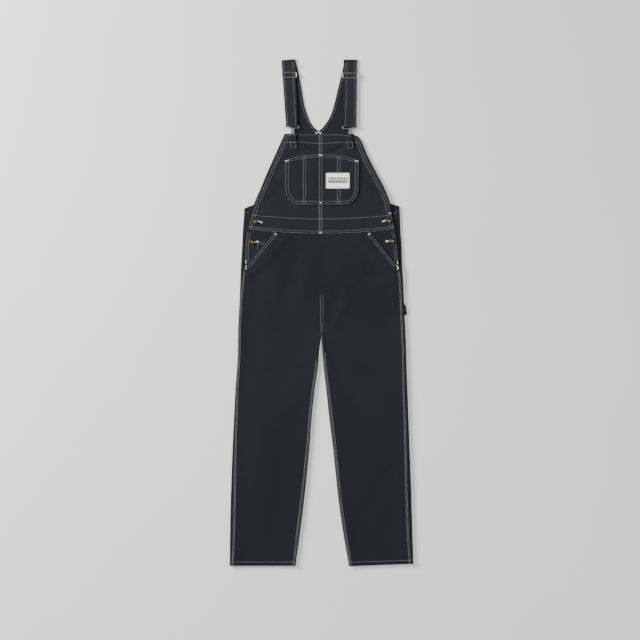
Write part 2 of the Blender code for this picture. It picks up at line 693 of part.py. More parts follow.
def side_placket(side):
    """Button underlap: from the back's seam at the side fold in under the front."""
    shares_down = np.linspace(0.0, 1.0, 9)[:, None]
    shares_across = np.linspace(0.0, 1.0, 4)[None, :]
    nominal = BACK_TOP_Y + (PLACKET_END_Y - BACK_TOP_Y) * shares_down
    seam = leg_value(side, "outer", nominal) - leg_value(side, "outseam", nominal)
    outer = seam - SEAM_GAP / 2
    distance = outer + (PLACKET_INNER_X - outer) * shares_across
    height = nominal - wing_drop(side, distance, nominal)
    level = np.full(distance.shape, PLACKET_LEVEL)
    middle = np.stack([distance * SIDE_SIGN[side], height, level], axis=2)
    return build_wall("side_placket_" + side, middle, CLOTH, None, SIDE_SIGN[side])


def bib_half(side):
    """Half of the bib, with its folded side hem, centre fell and waist band raised."""
    sign = SIDE_SIGN[side]
    seam = BIB_SEAM_X * sign + SEAM_GAP / 2
    fell = BIB_SEAM_X * sign + BIB_FELL_HALF
    drop = BIB_CORNER_DROP[side]
    corner_y = BIB_TOP_Y - drop
    band_corner = band_edge(BAND_HALF)
    waist_corner = waist_edge(WAIST_CORNER)
    above = np.linspace(0.0, 1.0, 9)[:-1]
    band = np.array([0.0, 0.5, 1.0])
    edge_y = np.concatenate([
        corner_y + (band_corner + FELL_STEP - corner_y) * above,
        [band_corner + FELL_STEP],
        band_corner + (waist_corner - band_corner) * band,
    ])
    outer = column_at(FRONT_EDGE[side], "x", edge_y)[:, None]
    shares = np.linspace(0.0, 1.0, 6)[None, :]
    first = outer - HEM_WIDTH - FELL_STEP
    last = fell + FELL_STEP
    between = first + (last - first) * shares
    ones = np.ones_like(outer)
    distance = np.concatenate(
        [outer, outer - HEM_WIDTH, between, ones * fell, ones * seam], axis=1)
    top = BIB_TOP_Y - drop * np.minimum(np.abs(distance) / BIB_TOP_HALF, 1.0) ** 4
    band_top = band_edge(distance)
    low = waist_edge(distance)
    upper = slice(0, len(above) + 1)
    lower = slice(len(above) + 1, None)
    step_rows = band_top[upper] + FELL_STEP
    above_rows = top[upper] + (step_rows - top[upper]) * np.append(above, 1.0)[:, None]
    band_rows = band_top[lower] + (low[lower] - band_top[lower]) * band[:, None]
    height = np.concatenate([above_rows, band_rows], axis=0)
    level = bib_level(height)
    middle = np.stack([distance * sign, height, level], axis=2)
    raised = np.zeros(distance.shape)
    raised[:, 0:2] = HEM_RAISE
    raised[:, -2:] = HEM_RAISE
    raised[lower, :] = HEM_RAISE
    return build_wall("bib_" + side, middle, CLOTH, raised, -sign)


def bib_pocket():
    """Large bib pocket: curved mouth, straight sides and long rounded lower corners."""
    bend = np.sin(np.linspace(0.0, math.pi / 2, 6))
    flat = POCKET_HALF - POCKET_CORNER
    half = np.concatenate([np.linspace(0.0, flat, 4)[:-1], flat + POCKET_CORNER * bend])
    across = np.concatenate([-half[::-1], half[1:]])[None, :]
    shares = np.linspace(0.0, 1.0, 8)[:, None]
    beyond = np.maximum(np.abs(across) - flat, 0.0)
    curve = np.sqrt(np.maximum(1.0 - (beyond / POCKET_CORNER) ** 2, 0.0))
    low = POCKET_BOTTOM_Y + POCKET_CORNER_RISE * (1.0 - curve)
    top = POCKET_TOP_Y - POCKET_TOP_DROP * (np.abs(across) / POCKET_HALF) ** POCKET_TOP_POWER
    height = top + (low - top) * shares
    distance = np.broadcast_to(across + POCKET_CENTRE_X, height.shape)
    level = bib_level(height) + POCKET_CLEARANCE
    middle = np.stack([distance, height, level], axis=2)
    raised = np.zeros(height.shape)
    raised[0, :] = HEM_RAISE
    return build_wall("bib_pocket", middle, CLOTH, raised, 1.0)


def bib_label():
    """Plain label patch with slightly rounded corners, lying on the pocket."""
    half_x = LABEL_SIZE[0] / 2
    half_y = LABEL_SIZE[1] / 2
    bend = np.linspace(0.0, math.pi / 2, 4)
    core = half_x - LABEL_CORNER
    half = np.concatenate([np.linspace(0.0, core, 4)[:-1], core + LABEL_CORNER * np.sin(bend)])
    across = np.concatenate([-half[::-1], half[1:]])[None, :]
    beyond = np.maximum(np.abs(across) - core, 0.0)
    cut = LABEL_CORNER - np.sqrt(np.maximum(LABEL_CORNER**2 - beyond**2, 0.0))
    shares = np.linspace(1.0, -1.0, 5)[:, None]
    height = LABEL_CENTRE[1] + (half_y - cut) * shares
    distance = np.broadcast_to(across + LABEL_CENTRE[0], height.shape)
    level = bib_level(height) + POCKET_CLEARANCE + CLOTH / 2 + SEAM_GAP + LABEL_CLOTH / 2
    middle = np.stack([distance, height, level], axis=2)
    points, faces = wall_mesh(middle, LABEL_CLOTH, None, 1.0)
    return build_object("bib_label", points, faces, LABEL_COLOUR)


def coin_pocket():
    """Small patch pocket on the right hip facing, as far as the slanted mouth."""
    slash = SLASH["right"]
    slope = (SLASH_TOP_Y - SLASH_LOW_Y) / (slash["low_x"] - slash["top_x"])
    meeting_y = SLASH_TOP_Y - (COIN_POCKET_OUTER_X - slash["top_x"]) * slope
    low_y = meeting_y + COIN_POCKET_TAIL
    shares_down = np.linspace(0.0, 1.0, 5)[:, None]
    nominal = COIN_POCKET_TOP_Y + (low_y - COIN_POCKET_TOP_Y) * shares_down
    inner = slash_x("right", nominal) + COIN_POCKET_MARGIN
    shares_across = np.linspace(0.0, 1.0, 4)[None, :]
    distance = COIN_POCKET_OUTER_X + (inner - COIN_POCKET_OUTER_X) * shares_across
    height = np.broadcast_to(nominal, distance.shape)
    level = np.full(distance.shape, WAIST_LEVEL + CLOTH + SEAM_GAP)
    middle = np.stack([-distance, height, level], axis=2)
    return build_wall("coin_pocket", middle, CLOTH, None, -1.0)


def slab(name, outline, low, high, colour=CLOTH_COLOUR, finish=CLOTH_FINISH):
    """Flat piece of the given outline between two levels."""
    count = len(outline)
    points = [(x, y, level) for level in (low, high) for x, y in outline]
    faces = [tuple(range(count)), tuple(range(2 * count - 1, count - 1, -1))]
    for index in range(count):
        following = (index + 1) % count
        faces.append((index, index + count, following + count, following))
    return build_object(name, points, faces, colour, finish)


def outline_of(rows, column, heights):
    """Points of an outline read from a table's column at the given heights."""
    return [(float(column_at(rows, column, y)), float(y)) for y in heights]


def back_yoke():
    """Back yoke with both shoulders and the V neck, flat on the surface."""
    neck_y = [779, 760, 739, 711, 683, 664, 645, 626, 608, 599, 590, 580, 571]
    edge_y = [341.3, 376, 411, 457, 504, 535, 566, 589, 612, 651, 690, 735, 779]
    outline = outline_of(YOKE_EDGE_ROWS, "left", edge_y)
    outline += outline_of(NECK_ROWS, "left", neck_y)
    outline += [NECK_POINT]
    outline += outline_of(NECK_ROWS, "right", neck_y[::-1])
    outline += outline_of(YOKE_EDGE_ROWS, "right", edge_y[::-1])
    return slab("back_yoke", outline, 0.0, CLOTH, CLOTH_INSIDE_COLOUR)


def strap_path(side):
    """Strap seen from its side, as (height on the page, level)."""
    strap = STRAP[side]
    fold_radius = (STRAP_LEVEL - BACK_LEVEL) / 2
    path = []
    for turn in np.radians([-90, -54, -18, 18, 54, 90]):
        path.append((STRAP_TOP_Y + fold_radius * math.cos(turn),
                     BACK_LEVEL + fold_radius + fold_radius * math.sin(turn)))
    path.append((STRAP_TOP_Y - STRAP_FOLD_RUN, STRAP_LEVEL))
    slider = strap["slider"]
    path += [(slider + row["above"], row["level"]) for row in STRAP_OVER_SLIDER]
    loop_radius = WIRE + SEAM_GAP + CLOTH / 2
    centre_y = strap["end"] + loop_radius + CLOTH / 2
    centre_z = STRAP_LEVEL + loop_radius
    path.append((centre_y + STRAP_LOOP_RUN, STRAP_UPPER_LEVEL))
    for turn in np.radians([90, 120, 150, 180, 210, 240, 270]):
        path.append((centre_y + loop_radius * math.cos(turn),
                     centre_z + loop_radius * math.sin(turn)))
    path.append((centre_y + STRAP_RETURN_RUN, STRAP_LEVEL))
    path.append((slider - STRAP_RETURN_MIDDLE, STRAP_LEVEL))
    path.append((slider - STRAP_RETURN_END, STRAP_LEVEL))
    return path


def strap_edge(side, edge, y):
    """Distance of a strap's edge from the centre line."""
    top, low = STRAP[side][edge]
    return top + (low - top) * (STRAP_TOP_Y - y) / (STRAP_TOP_Y - STRAP_LOW_Y)


def shoulder_strap(side):
    """Strap over the shoulder, through the slider, round the hook and back under itself."""
    strap = STRAP[side]
    rows = []
    for y, z in strap_path(side):
        row = []
        for share in (0.0, 0.5, 1.0):
            start = strap_edge(side, "outer", y)
            distance = start + (strap_edge(side, "inner", y) - start) * share
            lift = strap["top_outer"] + (strap["top_inner"] - strap["top_outer"]) * share
            lift = lift - STRAP_TOP_Y - STRAP_FOLD_REACH
            lift = lift * smooth_step((y - STRAP_TOP_Y + STRAP_SLANT_RUN) / STRAP_SLANT_RUN)
            row.append((distance * SIDE_SIGN[side], y + lift, z))
        rows.append(row)
    return build_wall("shoulder_strap_" + side, np.array(rows), CLOTH, None, SIDE_SIGN[side])


def box_mesh(shape, low, high):
    """Add a box between two corners to a bmesh."""
    made = bmesh.ops.create_cube(shape, size=1.0)
    size = [high[axis] - low[axis] for axis in range(3)]
    centre = [(high[axis] + low[axis]) / 2 for axis in range(3)]
    bmesh.ops.scale(shape, vec=size, verts=made["verts"])
    bmesh.ops.translate(shape, vec=centre, verts=made["verts"])


def solid_object(name, fill):
    """Make an object from a function that fills a bmesh in millimetres."""
    shape = bmesh.new()
    fill(shape)
    bmesh.ops.scale(shape, vec=(METRES, METRES, METRES), verts=shape.verts)
    bmesh.ops.recalc_face_normals(shape, faces=shape.faces)
    mesh = bpy.data.meshes.new(name)
    shape.to_mesh(mesh)
    shape.free()
    mesh.shade_smooth()
    mesh.set_sharp_from_angle(angle=SHARP_ANGLE)
    obj = bpy.data.objects.new(name, mesh)
    bpy.context.collection.objects.link(obj)
    return obj


def join_by_union(name, pieces, colour):
    """Unite overlapping pieces into the first one and keep it under the name."""
    body = pieces[0]
    for piece in pieces[1:]:
        union = body.modifiers.new("union_" + piece.name, "BOOLEAN")
        union.operation = "UNION"
        union.solver = "EXACT"
        union.object = piece
    bpy.context.view_layer.update()
    evaluated = body.evaluated_get(bpy.context.evaluated_depsgraph_get())
    mesh = bpy.data.meshes.new_from_object(evaluated)
    mesh.name = name
    for piece in pieces:
        bpy.data.objects.remove(piece)
    obj = bpy.data.objects.new(name, mesh)
    bpy.context.collection.objects.link(obj)
    obj.data.shade_smooth()
    obj.data.set_sharp_from_angle(angle=SHARP_ANGLE)
    add_material(obj, colour, METAL_FINISH)
    return obj


def bar_fill(start_x, end_x, y, z, radius=WIRE):
    """Round bar along X, as a function that fills a bmesh."""

    def fill(shape):
        made = bmesh.ops.create_cone(
            shape, cap_ends=True, segments=10, radius1=radius, radius2=radius,
            depth=abs(end_x - start_x))
        for vertex in made["verts"]:
            along = vertex.co.z
            vertex.co.z = z - vertex.co.x
            vertex.co.x = along + (start_x + end_x) / 2
            vertex.co.y = vertex.co.y + y

    return fill


def strap_slider(side):
    """Slider: two bars over the strap, one under it, joined by upright ends."""
    sign = SIDE_SIGN[side]
    y = STRAP[side]["slider"]
    outer = strap_edge(side, "outer", y) + SLIDER_SIDE_GAP
    inner = strap_edge(side, "inner", y) - SLIDER_SIDE_GAP
    width = SLIDER_SIDE_WIDTH
    upper_bar_z = STRAP_LEVEL + CLOTH / 2 + SEAM_GAP + WIRE
    lower_bar_z = STRAP_UPPER_LEVEL + CLOTH / 2 + SEAM_GAP + WIRE
    reach = SLIDER_HALF_PITCH + WIRE + SLIDER_SIDE_RIM
    ends = []
    for name, near in (("outer", outer), ("inner", inner - width)):
        low_x, high_x = sorted((near * sign, (near + width) * sign))
        low = (low_x, y - reach, CLOTH + SEAM_GAP)
        high = (high_x, y + reach, lower_bar_z + WIRE + SLIDER_SIDE_RIM)
        ends.append(solid_object(name, lambda shape, a=low, b=high: box_mesh(shape, a, b)))
    start = (inner - width / 2) * sign
    end = (outer + width / 2) * sign
    bars = [
        ("upper_bar", y + SLIDER_HALF_PITCH, upper_bar_z),
        ("centre_bar", y, SLIDER_CENTRE_BAR_LEVEL),
        ("lower_bar", y - SLIDER_HALF_PITCH, lower_bar_z),
    ]
    for name, bar_y, bar_z in bars:
        ends.append(solid_object(name, bar_fill(start, end, bar_y, bar_z)))
    return join_by_union("strap_slider_" + side, ends, NICKEL_COLOUR)


def strap_hook(side):
    """Hook: a wire frame held in the strap's loop, with a flat tang down to the bib."""
    sign = SIDE_SIGN[side]
    sizes = HOOK[side]
    loop_radius = WIRE + SEAM_GAP + CLOTH / 2
    upper_y = STRAP[side]["end"] + loop_radius + CLOTH / 2
    lower_y = upper_y - HOOK_BAR_DROP
    level = STRAP_LEVEL + loop_radius
    outer = sizes["outer"] - WIRE
    inner = sizes["inner"] + WIRE
    start = (inner - HOOK_BAR_OVERLAP) * sign
    end = (outer + HOOK_BAR_OVERLAP) * sign
    pieces = [solid_object("upper_bar", bar_fill(start, end, upper_y, level))]
    pieces.append(solid_object("lower_bar", bar_fill(start, end, lower_y, level)))
    for name, place in (("outer_arm", outer), ("inner_arm", inner)):
        low_x, high_x = sorted(((place - WIRE) * sign, (place + WIRE) * sign))
        low = (low_x, lower_y - WIRE, level - HOOK_ARM_HALF)
        high = (high_x, upper_y + WIRE, level + HOOK_ARM_HALF)
        pieces.append(solid_object(name, lambda shape, a=low, b=high: box_mesh(shape, a, b)))
    tang_low = SECOND_LEVEL + CLOTH / 2 + SEAM_GAP
    centre = sizes["tang_x"] * sign
    low = (centre - HOOK_TANG_WIDTH / 2, HOOK_TANG_END_Y, tang_low)
    tang_top = tang_low + HOOK_TANG_THICKNESS
    high = (centre + HOOK_TANG_WIDTH / 2, lower_y + HOOK_TANG_OVERLAP, tang_top)
    pieces.append(solid_object("tang", lambda shape: box_mesh(shape, low, high)))
    return join_by_union("strap_hook_" + side, pieces, NICKEL_COLOUR)


def bib_tab(side):
    """Cloth tab over the hook's tang, drooping to the bib at its sides and its end."""
    sign = SIDE_SIGN[side]
    across = np.array(TAB_SHARES)[None, :] * TAB_WIDTH / 2
    down = np.array(TAB_ROWS)[:, None]
    rest = SECOND_LEVEL + CLOTH / 2 + HEM_RAISE + SEAM_GAP + TAB_CLOTH / 2
    over = HOOK_TANG_THICKNESS + SEAM_GAP
    side_share = 1.0 - smooth_step((np.abs(across) - TAB_RAISED_HALF) / TAB_SIDE_DROOP)
    end_share = smooth_step((down - TAB_DROOP_Y) / TAB_END_DROOP)
    level = rest + over * side_share * end_share
    height = np.broadcast_to(down, level.shape)
    distance = np.broadcast_to(across + TAB_X[side] * sign, level.shape)
    middle = np.stack([distance, height, level], axis=2)
    return build_wall("bib_tab_" + side, middle, TAB_CLOTH, None, 1.0)


def side_button(row):
    """Domed metal button with a rolled rim, turned about its own axis."""
    base = WAIST_LEVEL + CLOTH / 2 + SEAM_GAP
    if row["on"] == "band":
        base = base + HEM_RAISE
    segments = BUTTON_SEGMENTS
    points = []
    for ring in BUTTON_RINGS:
        for step in range(segments):
            turn = 2 * math.pi * step / segments
            points.append((row["x"] + BUTTON_RADIUS * ring["radius"] * math.cos(turn),
                           row["y"] + BUTTON_RADIUS * ring["radius"] * math.sin(turn),
                           base + BUTTON_HEIGHT * ring["height"]))
    faces = [tuple(range(segments - 1, -1, -1))]
    rings = len(BUTTON_RINGS)
    for ring in range(rings - 1):
        for step in range(segments):
            following = (step + 1) % segments
            low = ring * segments
            faces.append((low + step, low + following,
                          low + segments + following, low + segments + step))
    points.append((row["x"], row["y"], base + BUTTON_HEIGHT))
    last = (rings - 1) * segments
    for step in range(segments):
        faces.append((last + step, last + (step + 1) % segments, len(points) - 1))
    return build_object(row["name"], points, faces, BRONZE_COLOUR, METAL_FINISH)


def tool_loop():
    """Folded tape beside the left outseam: along the surface, round its fold and back on top."""
    first = TOOL_LOOP_EDGE[0]["y"]
    last = TOOL_LOOP_EDGE[-1]["y"]
    y = np.linspace(first, last, TOOL_LOOP_ROWS)[:, None]
    seam = leg_value("left", "outer", y) + SEAM_GAP
    bend = column_at(TOOL_LOOP_EDGE, "x", y) - TOOL_LOOP_TURN - CLOTH / 2
    turns = np.radians([-90, -45, 0, 45, 90])[None, :]
    middle = (seam + bend) / 2
    x = np.concatenate([seam, middle, bend + TOOL_LOOP_TURN * np.cos(turns), middle, seam], axis=1)
    rises = TOOL_LOOP_TURN * (1.0 + np.sin(turns))
    under = np.zeros((1, 2))
    rises = np.concatenate([under, rises, under + 2 * TOOL_LOOP_TURN], axis=1)
    level = BACK_LEVEL + np.broadcast_to(rises, x.shape)
    height = np.broadcast_to(y, x.shape)
    return build_wall("tool_loop", np.stack([x, height, level], axis=2), CLOTH, None, 1.0)


def build_overalls():
    """Clear the scene and make every piece."""
    for obj in list(bpy.data.objects):
        bpy.data.objects.remove(obj)
    back_yoke()
    for side in ("right", "left"):
        back_trouser(side)
        front_trouser(side)
        hip_facing(side)
        side_placket(side)
        bib_half(side)
        bib_tab(side)
        shoulder_strap(side)
        strap_slider(side)
        strap_hook(side)
    bib_pocket()
    bib_label()
    coin_pocket()
    for row in BUTTONS:
        side_button(row)
    tool_loop()


build_overalls()
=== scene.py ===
"""Bib overalls in dark twill with pale sewing, laid flat on their back.

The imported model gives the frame. Every cloth panel is a thin shell on its solid's
form, with its creases, felled seams, hems and puckers; the sewing lies on it, and
the fittings are swept and turned. Shapes are worked out in millimetres, with +X to
the wearer's left, +Y to the shoulders and +Z up, and turned into metres as they
are written.
"""

import logging
import math
from dataclasses import dataclass, field
from enum import Enum
from typing import Any, Sequence

import bpy
import numpy as np
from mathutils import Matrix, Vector


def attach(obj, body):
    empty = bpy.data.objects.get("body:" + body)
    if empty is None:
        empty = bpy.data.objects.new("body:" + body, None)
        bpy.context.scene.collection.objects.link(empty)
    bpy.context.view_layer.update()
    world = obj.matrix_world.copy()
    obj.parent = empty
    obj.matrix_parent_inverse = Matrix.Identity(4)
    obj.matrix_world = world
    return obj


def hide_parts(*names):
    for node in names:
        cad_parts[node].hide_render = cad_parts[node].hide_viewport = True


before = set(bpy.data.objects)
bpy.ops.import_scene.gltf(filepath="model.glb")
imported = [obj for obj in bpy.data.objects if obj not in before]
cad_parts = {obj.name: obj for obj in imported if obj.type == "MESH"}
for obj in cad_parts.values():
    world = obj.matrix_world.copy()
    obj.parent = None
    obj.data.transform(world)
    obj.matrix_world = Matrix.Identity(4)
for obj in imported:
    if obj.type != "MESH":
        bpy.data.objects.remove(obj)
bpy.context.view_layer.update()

LOG = logging.getLogger("overalls")

Array = np.ndarray
Colour = tuple[float, float, float]
Point = tuple[float, float]
Shape = tuple[Array, Array]
Material = bpy.types.Material
Socket = bpy.types.NodeSocket

METRES = 0.001

# Sizes that several pieces share, in millimetres
CLOTH = 1.2
SEAM_GAP = 0.3
FELL_WIDTH = 2.9
FELL_STEP = 0.6
FELL_RAISE = 0.6
HEM_RAISE = 0.5
SIDE_HEM = 14.5
TWIN = 6.8
LEG_SPLIT = 0.3
INNER_FOLD = 5.0
LEAST_INSET = INNER_FOLD / 2 + FELL_WIDTH + FELL_STEP
WIRE = 1.1
TANG_THICKNESS = 1.2
SHARP_ANGLE = 42.0

# Levels of the middle of each layer of cloth
BACK_LEVEL = CLOTH / 2
SECOND_LEVEL = BACK_LEVEL + CLOTH + SEAM_GAP
PLACKET_LEVEL = 2.4
WAIST_LEVEL = PLACKET_LEVEL + CLOTH + SEAM_GAP
SLASH_LEVEL = WAIST_LEVEL + CLOTH + SEAM_GAP
LEG_LEVEL = 3.6
STRAP_UPPER_LEVEL = SECOND_LEVEL + CLOTH + SEAM_GAP

# Heights on the page, from the hems up
HEM_Y = -786.0
HEM_DEPTH = 12.5
HEM_ROW_Y = HEM_Y + HEM_DEPTH
HEM_LIFT_Y = -610.0
CROTCH_Y = -60.0
CROTCH_TURN = 12.0
OUTSEAM_TOP_Y = 131.0
SLASH_LOW_Y = 142.0
MOUTH_END_Y = 146.0
SLASH_TOP_Y = 250.0
BACK_TOP_Y = 341.0
YOKE_LOW_Y = 341.3
STRAP_LOW_Y = 578.0
YOKE_TOP_Y = 779.0
STRAP_TOP_Y = 780.0


class Side(Enum):
    """The wearer's side that a piece belongs to."""

    RIGHT = "right"
    LEFT = "left"

    @property
    def sign(self) -> float:
        """Minus one on the wearer's right, plus one on the left."""
        return -1.0 if self is Side.RIGHT else 1.0


class Hold(Enum):
    """How a sheet of cloth lies."""

    LAID = "laid"
    FOLDED = "folded"


class Slot(Enum):
    """Material slot of the record that a piece takes its finish from."""

    CANVAS = "canvas"
    LABEL = "label_cloth"
    NICKEL = "nickel"
    BRONZE = "bronze"


# Curves and reliefs


def smooth_step(value: Array) -> Array:
    """Rise from 0 to 1 with level ends while value runs from 0 to 1."""
    value = np.clip(value, 0.0, 1.0)
    return value * value * (3.0 - 2.0 * value)


def ramp(value: Array, start: float, end: float) -> Array:
    """Rise smoothly from 0 at start to 1 at end."""
    return smooth_step((np.asarray(value, dtype=float) - start) / (end - start))


def bell(distance: Array, width: float) -> Array:
    """One at distance 0, falling as exp of minus the squared share of width."""
    return np.exp(-((distance / width) ** 2))


def pucker(along: Array, phase: float) -> Array:
    """Uneven ripple along a seam: three sines whose lengths share no multiple."""
    turn = 2.0 * math.pi * along
    first = np.sin(turn / 9.7 + phase)
    second = np.sin(turn / 6.1 + 2.3 * phase)
    third = np.sin(turn / 15.3 + 0.7 * phase)
    return 0.5 * first + 0.3 * second + 0.2 * third


def even(start: float, end: float, step: float) -> Array:
    """Places from start to end, no further apart than step."""
    count = max(int(math.ceil(abs(end - start) / step)), 1)
    return np.linspace(start, end, count + 1)


def shares(count: int) -> Array:
    """A row of even shares from 0 to 1."""
    return np.linspace(0.0, 1.0, count)[None, :]


def abreast(*blocks: Array) -> Array:
    """Put blocks of columns side by side, those of a single row spread over all rows."""
    rows = max(len(block) for block in blocks)
    spread = [np.broadcast_to(block, (rows, block.shape[1])) for block in blocks]
    return np.concatenate(spread, axis=1)


def grid(x: Array, y: Array, z: Array) -> Array:
    """Points of a grid from its coordinates, each spread over the whole grid."""
    return np.stack(np.broadcast_arrays(x, y, z), axis=2)


def on_page(x: Array, y: Array) -> Array:
    """Points of a line on the page from its coordinates."""
    return np.stack(np.broadcast_arrays(x, y), axis=1)


def crowded(flat: float, corner: float, flat_points: int, corner_points: int) -> Array:
    """A row of places from side to side, closer together towards the ends of its corners.

    Each half runs evenly up to flat and then with a sine over the width of the corner.
    """
    bend = np.sin(np.linspace(0.0, math.pi / 2, corner_points))
    half = np.concatenate([np.linspace(0.0, flat, flat_points)[:-1], flat + corner * bend])
    return np.concatenate([-half[::-1], half[1:]])[None, :]


@dataclass(frozen=True)
class Course:
    """A distance that changes along the garment.

    Between its stations it follows a monotone cubic: the slope at a station is the
    harmonic mean of the slopes on both sides, or level where they differ in sign.

    Attributes:
        places: stations in rising order.
        values: the distance at each station.
    """

    places: Array
    values: Array

    @classmethod
    def of(cls, *stations: Point) -> "Course":
        """Make a course from (place, value) stations in any order."""
        ordered = np.array(sorted(stations), dtype=float)
        return cls(ordered[:, 0], ordered[:, 1])

    def at(self, where: Array | float) -> Array:
        """Read the course.

        Args:
            where: places to read it at; beyond its ends it stays level.

        Returns:
            The distance at each place.
        """
        spans = np.diff(self.places)
        rises = np.diff(self.values) / spans
        same_way = rises[:-1] * rises[1:] > 0
        total = np.where(same_way, rises[:-1] + rises[1:], 1.0)
        inside = np.where(same_way, 2.0 * rises[:-1] * rises[1:] / total, 0.0)
        slopes = np.concatenate([rises[:1], inside, rises[-1:]])
        where = np.clip(np.asarray(where, dtype=float), self.places[0], self.places[-1])
        index = np.clip(np.searchsorted(self.places, where) - 1, 0, len(spans) - 1)
        t = (where - self.places[index]) / spans[index]
        leave = slopes[index] * spans[index]
        arrive = slopes[index + 1] * spans[index]
        return (
            (2 * t**3 - 3 * t**2 + 1) * self.values[index]
            + (t**3 - 2 * t**2 + t) * leave
            + (3 * t**2 - 2 * t**3) * self.values[index + 1]
            + (t**3 - t**2) * arrive
        )


@dataclass(frozen=True)
class Crease:
    """A soft ridge, or a trough where its height is below zero.

    Attributes:
        start: (x, y) where it begins.
        end: (x, y) where it ends.
        width: distance over which it dies away to each side.
        height: height of its crest.
        bow: sideways bow of its line at the middle.
        fade: share of its length over which it begins inside and outside each end.
    """

    start: Point
    end: Point
    width: float
    height: float
    bow: float = 0.0
    fade: float = 0.25

    def relief(self, x: Array, y: Array) -> Array:
        """Height at each point: a bell across its bowed line that fades at both ends."""
        along_x = self.end[0] - self.start[0]
        along_y = self.end[1] - self.start[1]
        length = math.hypot(along_x, along_y)
        east, north = x - self.start[0], y - self.start[1]
        along = (east * along_x + north * along_y) / length**2
        across = (east * along_y - north * along_x) / length
        across = across - self.bow * np.sin(math.pi * np.clip(along, 0.0, 1.0))
        begun = smooth_step((along + self.fade) / (2 * self.fade))
        left = smooth_step((1.0 + self.fade - along) / (2 * self.fade))
        return self.height * (begun * left) * bell(across, self.width)


def crease_table(*rows: tuple[float, ...]) -> tuple[Crease, ...]:
    """Creases from rows of start x and y, end x and y, width, height and bow."""
    return tuple(Crease(row[:2], row[2:4], *row[4:]) for row in rows)


def creased(creases: Sequence[Crease], x: Array, y: Array) -> Array:
    """Sum of the reliefs of several creases."""
    return sum((crease.relief(x, y) for crease in creases), np.zeros(np.broadcast(x, y).shape))


# Surfaces


def grid_quads(rows: int, columns: int, flipped: bool) -> Array:
    """Quads of a grid numbered row by row.

    Args:
        rows: number of rows.
        columns: number of columns.
        flipped: run the quads the other way round.

    Returns:
        Four indices per quad, facing along the row direction crossed with the column one.
    """
    corner = (np.arange(rows - 1)[:, None] * columns + np.arange(columns - 1)[None, :]).ravel()
    quads = np.stack([corner, corner + columns, corner + columns + 1, corner + 1], axis=1)
    return quads[:, ::-1] if flipped else quads


def close_shell(outer: Array, inner: Array, quads: Array) -> Shape:
    """Join an outer and an inner sheet into one closed wall.

    The inner sheet's quads run the other way round, and each edge that a single
    quad uses gets a quad between the sheets.

    Args:
        outer: points of the outer sheet.
        inner: points of the inner sheet, in the same order.
        quads: quads of the outer sheet.

    Returns:
        Points and quads of the wall.
    """
    count = len(outer)
    edges = np.concatenate([quads[:, [k, (k + 1) % 4]] for k in range(4)])
    forward = edges[:, 0] * count + edges[:, 1]
    backward = edges[:, 1] * count + edges[:, 0]
    rim = edges[~np.isin(forward, backward)]
    sides = np.stack([rim[:, 1], rim[:, 0], rim[:, 0] + count, rim[:, 1] + count], axis=1)
    points = np.concatenate([outer, inner])
    return points, np.concatenate([quads, quads[:, ::-1] + count, sides])


def write_mesh(
    name: str, points: Array, quads: Array, finish: Material, cloth: Array | None = None,
    wear: Array | None = None
) -> bpy.types.Object:
    """Write points in millimetres and quads into a new object at the origin.

    Args:
        name: name of the piece.
        points: places of the vertices.
        quads: four indices per face.
        finish: material of the piece.
        cloth: place of each vertex on the flat cloth and its shade: roll tone plus painted light and
            shade.
        wear: how worn each vertex is, from 0 to 1; on the buttons it places a painted highlight.

    Returns:
        The new object.
    """
    mesh = bpy.data.meshes.new(name)
    mesh.vertices.add(len(points))
    mesh.vertices.foreach_set("co", (points * METRES).astype(np.float32).ravel())
    mesh.loops.add(quads.size)
    mesh.loops.foreach_set("vertex_index", quads.astype(np.int32).ravel())
    mesh.polygons.add(len(quads))
    mesh.polygons.foreach_set("loop_start", np.arange(0, quads.size, 4, dtype=np.int32))
    mesh.update(calc_edges=True)
    if cloth is not None:
        layer = mesh.attributes.new("cloth", "FLOAT_VECTOR", "POINT")
        layer.data.foreach_set("vector", (cloth * METRES).astype(np.float32).ravel())
    if wear is not None:
        layer = mesh.attributes.new("wear", "FLOAT", "POINT")
        layer.data.foreach_set("value", wear.astype(np.float32).ravel())
    mesh.shade_smooth()
    mesh.set_sharp_from_angle(angle=math.radians(SHARP_ANGLE))
    mesh.materials.append(finish)
    piece = bpy.data.objects.new(name, mesh)
    bpy.context.collection.objects.link(piece)
    return piece


